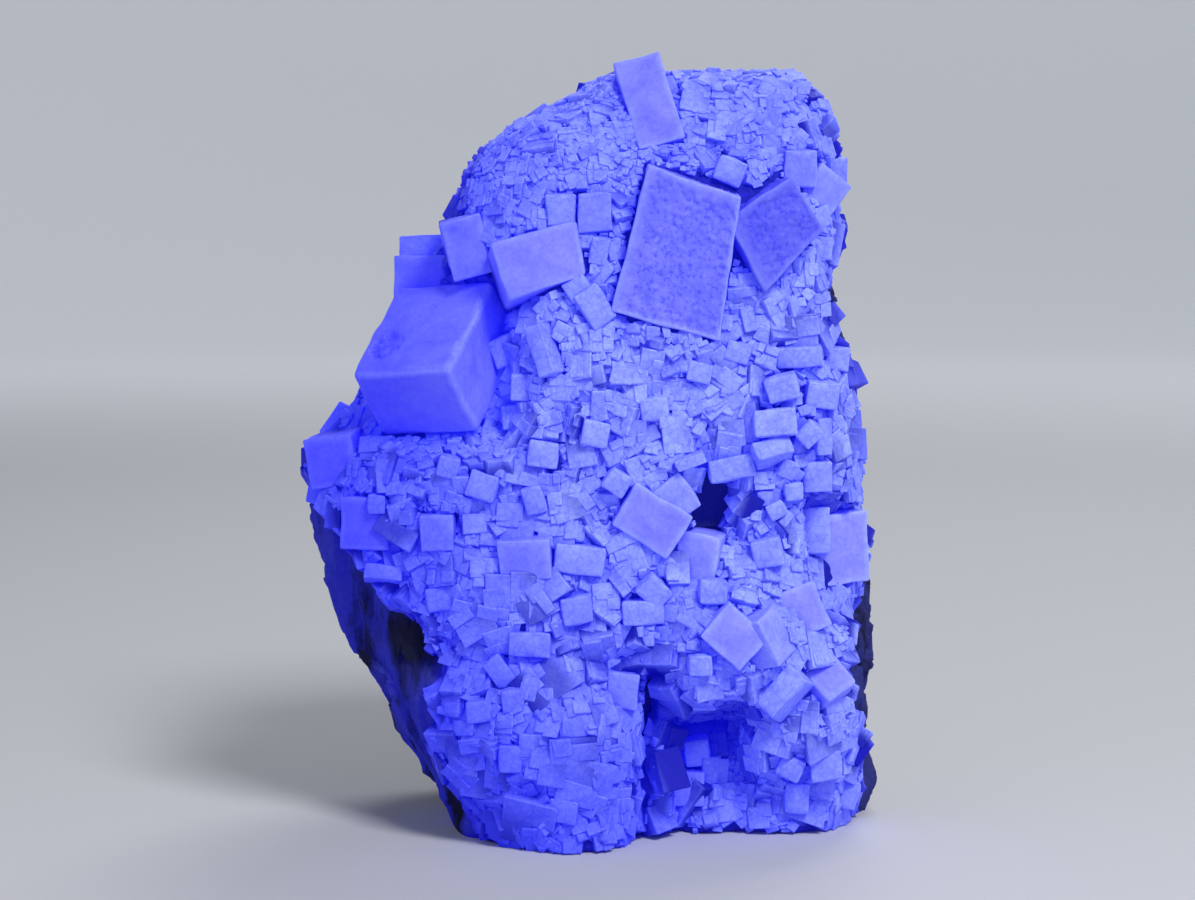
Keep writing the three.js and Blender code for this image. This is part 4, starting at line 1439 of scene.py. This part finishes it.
    def twins(self, crystals: Crystals, sowing: Sowing, draw: np.random.Generator) -> Crystals:
        """Smaller crystals nearly parallel to some of the given ones, a step higher and to one side.

        Args:
            crystals: the crystals that may carry one.
            sowing: their round.
            draw: stream of random numbers.

        Returns:
            The twins.
        """
        carrier = crystals.picked(draw.random(len(crystals.middle)) < sowing.twinned)
        count = len(carrier.middle)
        half = carrier.half * draw.uniform(0.30, 0.75, (count, 3))
        way = draw.choice([-1.0, 1.0], (count, 3))
        shift = (carrier.half - half * 0.7) * way * draw.uniform(0.5, 1.0, (count, 3))
        step = draw.uniform(0.10, 0.60, count)
        shift[:, 1] = half[:, 1] - carrier.half[:, 1] - step
        middle = carrier.middle + np.einsum("nij,nj->ni", carrier.axes, shift)
        chamfer = np.minimum(carrier.chamfer, half.min(axis=1) * 0.3)
        tint = carrier.tint + draw.normal(0, 0.5, count)
        lean = turn_matrix(*draw.normal(0, self.rider_lean, (3, count)))
        return Crystals(middle, carrier.axes @ lean, half, chamfer, carrier.root, carrier.outward, tint)


# ---------------------------------------------------------------- host rock


@dataclass
class HostRock:
    """The block of slanting, broken layers under and behind the crust."""

    block: Block
    columns: int = 450
    rows: int = 200
    cap_rings: int = 8
    crust_thickness: float = 5.0
    layer_thickness: float = 4.1
    sink: float = 2.1
    highest_relief: float = 0.8

    def relief(self, points: Array) -> Array:
        """Lumps, broken faces and slanting layers of the bare rock.

        The broken faces are long up the slant of the layers. The layers are a saw tooth of the
        distance across them, warped by noise, so that each ends in a small step.

        Args:
            points: places on the plain block, in mm.

        Returns:
            How far each point is pushed out.
        """
        x, y, z = np.moveaxis(points, -1, 0)
        lumps = 2.0 * np.sin(0.11 * x + 0.6) * np.sin(0.09 * y - 0.13 * z + 1.9)
        along_layers = points @ turn_matrix(-14, 8, 0) * np.array([1.0, 1.0, 0.45])
        bent = along_layers + 1.2 * layered_noise(points, 8.0, 50)[..., None]
        broken = 2.6 * facets(bent, 14.0, 151) + 1.3 * facets(bent, 5.5, 161)
        warp = 5.0 * layered_noise(points, 26.0, 51) + 1.2 * layered_noise(points, 6.0, 52)
        across = (0.62 * x + 0.34 * y + 0.25 * z) / 0.75 + warp
        saw = np.mod(across / self.layer_thickness, 1.0)
        layers = 0.9 * (saw - 0.5) * (1 - smoothstep(0.86, 1.0, saw))
        grain = 0.3 * layered_noise(points, 2.2, 54)
        return np.minimum(lumps + broken + layers + grain - self.sink, self.highest_relief)

    @staticmethod
    def busy(direction: Array) -> Array:
        """How close the columns lie: loose where the crust covers the rock, close where it is bare."""
        covered = (direction > math.radians(30)) & (direction < math.radians(128))
        return np.where(covered, 0.35, 1.0)

    def shape(self) -> Shape:
        """The rock as a closed surface, flat underneath, and deeper where the crust covers it.

        Returns:
            Its surface in mm.
        """
        block = self.block
        direction = stretched(0, 2 * math.pi, self.columns + 1, self.busy)[:-1]
        grid_direction, grid_height = np.meshgrid(direction, np.linspace(0, block.crest, self.rows))
        plain = block.surface(grid_direction, grid_height)
        under = smoothstep(-2, 8, block.inside_crust(grid_direction, grid_height))
        at_crest = smoothstep(120, block.crest, grid_height)
        inset = (self.crust_thickness + 2) * (1 - 0.5 * at_crest)
        bare = self.relief(plain) * smoothstep(0, 6, grid_height)
        points = block.surface(grid_direction, grid_height, blend(bare, -inset, under))
        points[..., 2] -= self.crust_thickness * at_crest
        cap = rings_inside(points[-1], self.cap_rings)
        cap[..., 2] += 0.5 * layered_noise(cap, 5.0, 55) + 0.4
        base = rings_inside(points[0], self.cap_rings)[::-1]
        grid = np.concatenate([base, points, cap])
        return Shape(*with_poles(grid, points[0].mean(axis=0), cap[-1].mean(axis=0)))


# ---------------------------------------------------------------- finishes


@dataclass(frozen=True)
class FluoriteFinish:
    """Milky blue fluorite with a painted violet glow, which stands in for fluorescence under a UV lamp.

    Colours are linear red, green and blue. The widths of the painted edge highlights are in mm, and the reach
    of the painted crevice shade is in metres. The last six say how strongly an effect changes colour or glow.
    """

    small: Colour = (0.265, 0.325, 0.54)
    large: Colour = (0.235, 0.25, 0.52)
    # painted crevice shade: the colour that faces take where a crystal sinks into the ground
    crevice_shade: Colour = (0.012, 0.014, 0.30)
    # colour of the painted highlights along the crystal edges
    edge: Colour = (0.36, 0.43, 0.60)
    # painted glow, which stands in for fluorescence under a UV lamp
    glow: Colour = (0.004, 0.005, 0.57)
    ground_glow: Colour = (0.002, 0.003, 0.34)
    roughness: float = 0.55
    specular: float = 0.2
    # rim: strength of the painted edge highlights
    rim: float = 0.35
    highlight_width: float = 0.4
    broad_highlight_width: float = 1.8
    crevice: float = 0.0025
    mottling: float = 1.9
    tinting: float = 0.08
    specks: float = 0.42
    wear: float = 0.12
    shading: float = 0.78
    glow_shading: float = 0.85


@dataclass(frozen=True)
class RockFinish:
    """Dark rock with streaks stained blue, which have a painted glow on the left of the front, and a patch of
    painted shade.
    """

    dark: Colour = (0.011, 0.012, 0.030)
    stain: Colour = (0.038, 0.044, 0.17)
    glow: Colour = (0.0, 0.0, 0.24)
    # faint painted glow over all the rock
    faint_glow: Colour = (0.0, 0.0, 0.006)
    # middle of the patch of painted shade round a hollow, in metres
    painted_hollow_shade: tuple[float, float, float] = (-0.042, -0.030, 0.046)
    slant: float = -14
    roughness: float = 0.85
    specular: float = 0.04


class NodeSheet:
    """A node tree that is written line by line: add() makes a node and joins its inputs."""

    def __init__(self, tree: bpy.types.NodeTree) -> None:
        """Start on a tree, emptied first."""
        self.tree = tree
        tree.nodes.clear()

    def feed(self, node: Node, inputs: dict) -> None:
        """Give a node its inputs.

        Args:
            node: the node.
            inputs: its inputs by name or number, each a value or another node's output.
        """
        for key, value in inputs.items():
            if isinstance(value, Socket):
                self.tree.links.new(value, node.inputs[key])
            else:
                node.inputs[key].default_value = value

    def add(self, kind: str, inputs: dict | None = None, **settings: object) -> Node:
        """Make a node.

        Args:
            kind: the node's type name.
            inputs: its inputs by name or number, each a value or another node's output.
            settings: its own settings.

        Returns:
            The node.
        """
        node = self.tree.nodes.new(kind)
        for key, value in settings.items():
            setattr(node, key, value)
        self.feed(node, inputs or {})
        return node

    def math(self, operation: str, *values: Value) -> Socket:
        """The output of a Math node on one, two or three values."""
        return self.add("ShaderNodeMath", dict(enumerate(values)), operation=operation).outputs[0]

    def product(self, first: Value, *others: Value) -> Socket:
        """All values multiplied with each other."""
        for other in others:
            first = self.math("MULTIPLY", first, other)
        return first

    def scaled(self, value: Value, factor: float, added: float) -> Socket:
        """The value times a factor, and something added."""
        return self.math("MULTIPLY_ADD", value, factor, added)

    def vector(self, operation: str, inputs: dict, output: int | str = 0) -> Socket:
        """The output of a Vector Math node."""
        return self.add("ShaderNodeVectorMath", inputs, operation=operation).outputs[output]

    def place(self) -> Socket:
        """The place on the piece, in metres."""
        return self.add("ShaderNodeTexCoord").outputs["Object"]

    def split(self, vector: Socket) -> list[Socket]:
        """The x, y and z of a vector."""
        return list(self.add("ShaderNodeSeparateXYZ", {0: vector}).outputs)

    def attribute(self, name: str, output: str = "Fac") -> Socket:
        """A value or vector that the mesh carries."""
        return self.add("ShaderNodeAttribute", attribute_name=name).outputs[output]

    def ramp(self, value: Value, low: float, high: Value, start: float = 0.0, end: float = 1.0) -> Socket:
        """A smooth passage from start to end while the value goes from low to high."""
        inputs = {0: value, 1: low, 2: high, 3: start, 4: end}
        return self.add("ShaderNodeMapRange", inputs, interpolation_type="SMOOTHSTEP").outputs[0]

    def mix(
        self, share: Value, first: Socket | Colour, second: Socket | Colour, blend_type: str = "MIX",
    ) -> Socket:
        """A colour between two colours.

        Args:
            share: 0 for the first colour, 1 for the second.
            first: a colour, or another node's output.
            second: likewise.
            blend_type: how the second acts on the first.

        Returns:
            The colour.
        """
        colours = [one if isinstance(one, Socket) else (*one, 1.0) for one in (first, second)]
        node = self.add("ShaderNodeMix", data_type="RGBA", blend_type=blend_type)
        self.feed(node, dict(zip((0, 6, 7), (share, *colours))))
        return node.outputs[2]

    def times(self, colour: Socket, red: Value, green: Value, blue: Value) -> Socket:
        """A colour with its red, green and blue multiplied by a value each."""
        factors = self.add("ShaderNodeCombineColor", {0: red, 1: green, 2: blue}).outputs[0]
        return self.mix(1.0, colour, factors, "MULTIPLY")

    def noise(self, place: Socket, scale: float, detail: float = 3.0, roughness: float = 0.6) -> Socket:
        """Noise from 0 to 1 at a place, with so many waves to the metre."""
        inputs = {"Vector": place, "Scale": scale, "Detail": detail, "Roughness": roughness}
        return self.add("ShaderNodeTexNoise", inputs).outputs[0]

    def bump(self, height: Socket, strength: float, distance: float) -> Socket:
        """Normals tipped by a height."""
        inputs = {"Height": height, "Strength": strength, "Distance": distance}
        return self.add("ShaderNodeBump", inputs).outputs[0]


def new_material(name: str) -> tuple[Material, NodeSheet, Node]:
    """Start a material with its shader joined to its output. Its glow is too weak to act as a lamp.

    Args:
        name: the material's name.

    Returns:
        The material, its sheet and its shader.
    """
    material = bpy.data.materials.new(name)
    material.use_nodes = True
    material.cycles.emission_sampling = "NONE"
    sheet = NodeSheet(material.node_tree)
    shader = sheet.add("ShaderNodeBsdfPrincipled", {"Emission Strength": 1.0})
    sheet.add("ShaderNodeOutputMaterial", {"Surface": shader.outputs[0]})
    return material, sheet, shader


def new_group(name: str, inputs: list[str], outputs: list[str]) -> tuple[NodeSheet, Node, Node]:
    """Start a shader node group whose sockets all carry one number.

    Args:
        name: the group's name.
        inputs: names of its inputs.
        outputs: names of its outputs.

    Returns:
        Its sheet, and its input and output nodes.
    """
    tree = bpy.data.node_groups.new(name, "ShaderNodeTree")
    for direction, names in (("INPUT", inputs), ("OUTPUT", outputs)):
        for socket_name in names:
            tree.interface.new_socket(socket_name, in_out=direction, socket_type="NodeSocketFloat")
    sheet = NodeSheet(tree)
    return sheet, sheet.add("NodeGroupInput"), sheet.add("NodeGroupOutput")


def edge_group() -> bpy.types.NodeTree:
    """How near a point is to the edge of its crystal face: 1 on the edge, 0 a width away from it.

    Returns:
        The group, which also gives the distance in mm.
    """
    sheet, given, result = new_group("nearness to a crystal edge", ["Width"], ["Edge", "Distance"])
    place = sheet.attribute("face_place", "Vector")
    half = sheet.attribute("face_half", "Vector")
    inward = sheet.vector("ABSOLUTE", {0: place})
    room = sheet.split(sheet.vector("SUBTRACT", {0: half, 1: inward}))
    distance = sheet.math("MINIMUM", room[0], room[1])
    edge = sheet.ramp(distance, 0.0, given.outputs["Width"], 1.0, 0.0)
    sheet.feed(result, {"Edge": edge, "Distance": distance})
    return sheet.tree


def mottle_group() -> bpy.types.NodeTree:
    """Cloudy variation and fine dark veins of milky crystal: a value round 1, and grain for its height.

    The clouds come in three sizes. The veins run between cells whose walls are bent by noise.

    Returns:
        The group.
    """
    sheet, given, result = new_group("milky mottling", ["Strength", "Veins"], ["Value", "Grain"])
    place = sheet.place()
    cloud = sheet.noise(place, 260.0)
    dust = sheet.noise(place, 1100.0, 2.0)
    haze = sheet.noise(place, 95.0, 4.0, 0.7)
    both = sheet.math("ADD", sheet.product(cloud, 0.35), sheet.product(dust, 0.3))
    all_three = sheet.math("MULTIPLY_ADD", haze, 0.35, both)
    swing = sheet.product(sheet.math("SUBTRACT", all_three, 0.5), given.outputs["Strength"])
    bent = sheet.add("ShaderNodeTexNoise", {"Vector": place, "Scale": 700.0, "Detail": 2.0}).outputs["Color"]
    warped = sheet.vector("ADD", {0: place, 1: sheet.vector("SCALE", {0: bent, "Scale": 0.0016})})
    cells = sheet.add("ShaderNodeTexVoronoi", {"Vector": warped, "Scale": 520.0}, feature="DISTANCE_TO_EDGE")
    vein = sheet.ramp(cells.outputs["Distance"], 0.0, 0.14, 1.0, 0.0)
    faint = sheet.product(vein, given.outputs["Veins"], -0.22)
    value = sheet.math("ADD", sheet.math("ADD", swing, faint), 1.03)
    sheet.feed(result, {"Value": value, "Grain": sheet.noise(place, 2200.0, 2.0)})
    return sheet.tree


def painted_lamp_falloff_group() -> bpy.types.NodeTree:
    """Painted light, the lamp's fall-off over the specimen: 1 on the upper right, less towards the lower left
    and the foot.

    Returns:
        The group.
    """
    sheet, _, result = new_group("colour zoning", [], ["Value"])
    x, _, z = sheet.split(sheet.place())
    across = sheet.ramp(x, -0.062, 0.004, 0.34, 1.0)
    rightward = sheet.math("MAXIMUM", x, 0.0)
    height = sheet.math("MULTIPLY_ADD", rightward, 0.9, z)
    up = sheet.ramp(height, -0.01, 0.085, 0.42, 1.0)
    crest = sheet.ramp(z, 0.105, 0.165, 1.0, 0.80)
    sheet.feed(result, {"Value": sheet.product(across, up, crest)})
    return sheet.tree


@dataclass
class Finishes:
    """Builds the materials, with their shared node groups."""

    fluorite: FluoriteFinish = FluoriteFinish()
    rock: RockFinish = RockFinish()

    def __post_init__(self) -> None:
        """Build the shared groups once."""
        self.edge = edge_group()
        self.mottle = mottle_group()
        self.painted_lamp_falloff = painted_lamp_falloff_group()

    def crystal(self) -> Material:
        """Faces of the crystals: painted highlights along the edges, painted shade in crevices, where they
        leave the ground and under the front above, and a painted glow.

        Returns:
            The material.
        """
        finish = self.fluorite
        material, sheet, shader = new_material("milky blue fluorite")
        edge = sheet.add("ShaderNodeGroup", {"Width": finish.highlight_width}, node_tree=self.edge).outputs
        mottle = sheet.add("ShaderNodeGroup", {"Strength": finish.mottling}, node_tree=self.mottle)
        painted_lamp_falloff = sheet.add("ShaderNodeGroup", node_tree=self.painted_lamp_falloff).outputs["Value"]
        names = ("proud", "below", "tint", "large", "worn", "shade")
        proud, below, tint, large, worn, shade = (sheet.attribute(name) for name in names)
        sheet.feed(mottle, {"Veins": sheet.math("SUBTRACT", 1.0, large)})
        grain = mottle.outputs["Grain"]

        # Painted crevice shade: darker where a crystal sinks into the ground and down its own sides.
        out_of_crevice_shade = sheet.product(sheet.ramp(proud, -1.2, 0.9), sheet.ramp(below, 0.15, 2.2, 1.0, 0.35))
        # Painted crevice shade from ambient occlusion: darker colour and weaker glow in narrow crevices.
        nearby = sheet.add("ShaderNodeAmbientOcclusion", {"Distance": finish.crevice}, samples=4)
        clear = sheet.ramp(nearby.outputs["AO"], 0.25, 0.85)
        # Painted highlights: crisp along every crystal edge, broad on the large crystals, none in painted
        # crevice shade.
        broad_highlight = sheet.product(sheet.ramp(edge["Distance"], 0.2, finish.broad_highlight_width, 0.5, 0.0), large)
        crisp_highlight = sheet.product(edge["Edge"], sheet.scaled(large, -0.15, finish.rim))
        rim = sheet.product(sheet.math("ADD", crisp_highlight, broad_highlight), out_of_crevice_shade)
        face = sheet.mix(out_of_crevice_shade, finish.crevice_shade, sheet.mix(large, finish.small, finish.large))
        with_highlights = sheet.mix(rim, face, finish.edge)

        speck = sheet.ramp(sheet.noise(sheet.place(), 900.0, 4.0, 0.7), 0.50, 0.64)
        frosted = sheet.product(worn, sheet.scaled(speck, finish.specks, finish.wear))
        unfrosted = sheet.math("SUBTRACT", 1.0, frosted)
        value = sheet.product(mottle.outputs["Value"], sheet.scaled(tint, finish.tinting, 1.0))
        # Painted light: lighter on the upper right, darker towards the lower left, the foot and the crest.
        value = sheet.product(value, painted_lamp_falloff, unfrosted)
        value = sheet.product(value, sheet.scaled(shade, -finish.shading, 1.0))
        value = sheet.product(value, sheet.scaled(clear, 0.42, 0.62))
        colour = sheet.times(with_highlights, value, value, 1.0)
        # Painted glow: full on open raised faces, weaker in painted crevice shade and in painted shade from
        # the front above.
        lit = sheet.product(out_of_crevice_shade, sheet.scaled(shade, -finish.glow_shading, 1.0))
        lit = sheet.product(lit, sheet.scaled(clear, 0.5, 0.5))
        glow = sheet.mix(lit, tuple(0.35 * part for part in finish.glow), finish.glow)
        sheet.feed(shader, {
            "Base Color": colour,
            "Normal": sheet.bump(grain, 0.25, 0.0002),
            "Roughness": sheet.scaled(grain, 0.2, finish.roughness - 0.1),
            "Emission Color": glow,
            "Specular IOR Level": finish.specular,
        })
        return material

    def ground(self) -> Material:
        """The crust's own floor, seen only in the gaps: painted in dark crevice shade, darker still in
        painted shade, with a weak painted glow, and rough.

        Returns:
            The material.
        """
        finish = self.fluorite
        material, sheet, shader = new_material("deep blue druse floor")
        grain = sheet.noise(sheet.place(), 600.0, 4.0)
        # Painted shade: the floor goes towards its painted shade colour where the shade attribute is high or
        # the grain low.
        lit = sheet.product(grain, sheet.scaled(sheet.attribute("shade"), -0.9, 1.0))
        painted_shade, bright = (tuple(factor * part for part in finish.crevice_shade) for factor in (0.2, 1.6))
        sheet.feed(shader, {
            "Base Color": sheet.mix(lit, painted_shade, bright),
            "Emission Color": sheet.mix(lit, (0.0, 0.0, 0.04), finish.ground_glow),
            "Normal": sheet.bump(grain, 0.8, 0.0008),
            "Roughness": 0.8,
            "Specular IOR Level": finish.specular,
        })
        return material

    def host_rock(self) -> Material:
        """Dark rock with slanting streaks of blue stain, a patch of painted shade where a hollow lies, a
        painted glow on the left of the front, and a rough grain.

        Returns:
            The material.
        """
        finish = self.rock
        material, sheet, shader = new_material("dark stained rock")
        place = sheet.place()
        turn = (0.0, math.radians(finish.slant), 0.0)
        stretched_up = {"Vector": place, "Rotation": turn, "Scale": (1.0, 1.0, 0.16)}
        streak = sheet.noise(sheet.add("ShaderNodeMapping", stretched_up).outputs[0], 120.0, 5.0, 0.65)
        patch = sheet.noise(place, 28.0, 2.0)
        grain = sheet.noise(place, 900.0, 3.0)
        # Painted shade: inside a ragged patch round one hollow the stain gives way to the dark rock and its
        # glow goes out.
        from_painted_shade = sheet.vector("DISTANCE", {0: place, 1: finish.painted_hollow_shade}, "Value")
        ragged = sheet.math("MULTIPLY_ADD", streak, 0.020, from_painted_shade)
        bare = sheet.ramp(sheet.math("MULTIPLY_ADD", patch, 0.008, ragged), 0.017, 0.027)
        stained = sheet.ramp(sheet.math("MULTIPLY_ADD", patch, 0.6, streak), 0.58, 0.84)
        stained = sheet.product(stained, bare)
        x, y, _ = sheet.split(place)
        # Painted glow: the stain glows only on the front, most on the left, where the lamp's light fell.
        in_front = sheet.ramp(y, -0.010, 0.014, 1.0, 0.0)
        on_left = sheet.ramp(x, -0.02, 0.05, 1.0, 0.25)
        glowing = sheet.product(stained, sheet.product(in_front, on_left))
        rough = sheet.scaled(grain, 0.5, 0.75)
        sheet.feed(shader, {
            "Base Color": sheet.times(sheet.mix(stained, finish.dark, finish.stain), rough, rough, rough),
            "Emission Color": sheet.mix(glowing, finish.faint_glow, finish.glow),
            "Normal": sheet.bump(grain, 0.6, 0.0005),
            "Roughness": finish.roughness,
            "Specular IOR Level": finish.specular,
        })
        return material


# ---------------------------------------------------------------- studio


@dataclass(frozen=True)
class Lamp:
    """A soft square light that looks at a point of the specimen. Metres and watts."""

    name: str
    place: tuple[float, float, float]
    size: float
    power: float
    target: tuple[float, float, float] = (0.0, 0.0, 0.08)


@dataclass
class Studio:
    """A pale floor that rises all round into a wall, soft lights, and the camera. Metres and degrees.

    The floor glows more with the distance and the height, so that it looks evenly lit up to the wall.
    """

    lamps: tuple[Lamp, ...] = (
        Lamp("key light", (0.36, -0.66, 0.86), 0.30, 8.5),
        Lamp("side light", (-0.75, -0.45, 0.30), 0.5, 0.5),
        Lamp("back light", (0.35, 0.85, 1.15), 0.7, 7.5),
    )
    ambient: float = 0.06
    ambient_colour: Colour = (0.9, 0.93, 1.0)
    floor_radius: float = 1.7
    bend_radius: float = 0.8
    wall_height: float = 2.2
    floor_colour: Colour = (0.55, 0.56, 0.59)
    floor_glow: Colour = (0.26, 0.27, 0.29)
    camera_place: tuple[float, float, float] = (0.0002, -0.6438, 0.150)
    camera_pitch: float = 5.75
    lens: float = 84.05
    sensor: float = 36.0

    def build(self) -> None:
        """Make the floor, the lights, the surroundings and the camera."""
        scene = bpy.context.scene
        floor = bpy.data.objects.new("studio floor", self.floor_mesh())
        scene.collection.objects.link(floor)
        for lamp in self.lamps:
            self.light(lamp)
        world = bpy.data.worlds.new("studio surroundings")
        world.use_nodes = True
        background = world.node_tree.nodes["Background"]
        background.inputs["Color"].default_value = (*self.ambient_colour, 1.0)
        background.inputs["Strength"].default_value = self.ambient
        scene.world = world
        scene.view_settings.view_transform = "Standard"
        camera = bpy.data.cameras.new("camera")
        camera.lens = self.lens
        camera.sensor_width = self.sensor
        holder = bpy.data.objects.new("camera", camera)
        holder.location = self.camera_place
        holder.rotation_euler = (math.radians(90 - self.camera_pitch), 0.0, 0.0)
        scene.collection.objects.link(holder)
        scene.camera = holder

    def floor_mesh(self) -> bpy.types.Mesh:
        """The floor and wall: a profile turned round the upright axis, flat, a quarter bend, then upright.

        Returns:
            The mesh.
        """
        bend = np.linspace(0, math.pi / 2, 16)[1:]
        flat = np.linspace(0.02, self.floor_radius, 8)
        wall_radius = self.floor_radius + self.bend_radius
        radius = np.concatenate([flat, self.floor_radius + self.bend_radius * np.sin(bend), [wall_radius]])
        height = np.concatenate([flat * 0, self.bend_radius * (1 - np.cos(bend)), [self.wall_height]])
        angle = np.linspace(0, 2 * math.pi, 97)[:-1]
        across, along = radius[:, None] * np.cos(angle), radius[:, None] * np.sin(angle)
        grid = np.stack([across, along, np.repeat(height[:, None], len(angle), axis=1)], -1)
        first = np.arange(len(angle))
        hub = np.stack([np.full(len(angle), grid[..., 0].size), first, np.roll(first, -1)], -1)
        points = np.concatenate([grid.reshape(-1, 3), [[0.0, 0.0, 0.0]]])
        mesh = bpy.data.meshes.new("studio floor")
        mesh.from_pydata(points.tolist(), [], closed_grid(grid).tolist() + hub.tolist())
        mesh.polygons.foreach_set("use_smooth", np.ones(len(mesh.polygons), bool))
        mesh.materials.append(self.floor_material())
        return mesh

    def floor_material(self) -> Material:
        """A dull pale finish that glows a little, more with the distance and the height.

        Returns:
            The material.
        """
        material, sheet, shader = new_material("pale studio floor")
        place = sheet.place()
        far = sheet.ramp(sheet.vector("LENGTH", {0: place}, "Value"), 0.7, 1.6)
        high = sheet.ramp(sheet.split(place)[2], 0.0, 0.25, 0.0, 0.5)
        sheet.feed(shader, {
            "Base Color": (*self.floor_colour, 1.0),
            "Emission Color": sheet.mix(sheet.math("ADD", far, high), (0.0, 0.0, 0.0), self.floor_glow),
            "Roughness": 0.9,
            "Specular IOR Level": 0.0,
        })
        return material

    @staticmethod
    def light(lamp: Lamp) -> None:
        """Make one soft light that looks at its target.

        Args:
            lamp: its place, size, power and target.
        """
        data = bpy.data.lights.new(lamp.name, "AREA")
        data.size = lamp.size
        data.energy = lamp.power
        holder = bpy.data.objects.new(lamp.name, data)
        holder.location = lamp.place
        towards = Vector(lamp.target) - Vector(lamp.place)
        holder.rotation_euler = towards.to_track_quat("-Z", "Y").to_euler()
        bpy.context.scene.collection.objects.link(holder)


# ---------------------------------------------------------------- the specimen


@dataclass
class Specimen:
    """The whole specimen: rock, ground of the crust, large crystals and small ones."""

    block: Block = field(default_factory=Block)
    finishes: Finishes = field(default_factory=Finishes)
    pieces_alone: tuple[str, ...] = ("great_cube", "frosted_plate", "leaning_plate")
    split_height: float = 88.0

    def build(self) -> None:
        """Make every piece in order."""
        add_piece("rock_body", HostRock(self.block).shape(), Part.ROCK, self.finishes.host_rock(), True)
        ground = CrustGround(self.block)
        add_piece("crust_ground", ground.shape(), Part.CRUST, self.finishes.ground(), True)
        crystal_finish = self.finishes.crystal()
        self.large_crystals(crystal_finish)
        self.small_crystals(ground, crystal_finish)

    def large_crystals(self, finish: Material) -> None:
        """Make the large crystals, the named few as pieces of their own.

        Args:
            finish: their material.
        """
        maker = CubeMaker(self.block)
        shapes = {name: maker.shape(CRYSTALS[name], seed) for seed, name in enumerate(CRYSTALS, 1)}
        for name in self.pieces_alone:
            add_piece(name, shapes.pop(name), Part.CRUST, finish, True)
        add_piece("large_crystals", Shape.joined(list(shapes.values())), Part.CRUST, finish, True)

    def small_crystals(self, ground: CrustGround, finish: Material) -> None:
        """Make the small crystals, each round in an upper and a lower piece.

        Args:
            ground: the ground that they stand on.
            finish: their material.
        """
        names = ("coarse_crystals", "middling_crystals", "fine_crystals", "druse")
        for name, crystals in zip(names, SmallCrystalField(self.block, ground).sow()):
            upper = crystals.root[:, 2] > self.split_height
            for part, mask in (("upper", upper), ("lower", ~upper)):
                shape = crystals.picked(mask).shape(self.block)
                add_piece(f"{name}_{part}", shape, Part.CRUST, finish, False)


def main() -> None:
    """Build the specimen and its studio."""
    logging.basicConfig(level=logging.INFO, format="%(name)s: %(message)s")
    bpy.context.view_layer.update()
    Specimen().build()
    Studio().build()


if __name__ == "__main__":
    main()
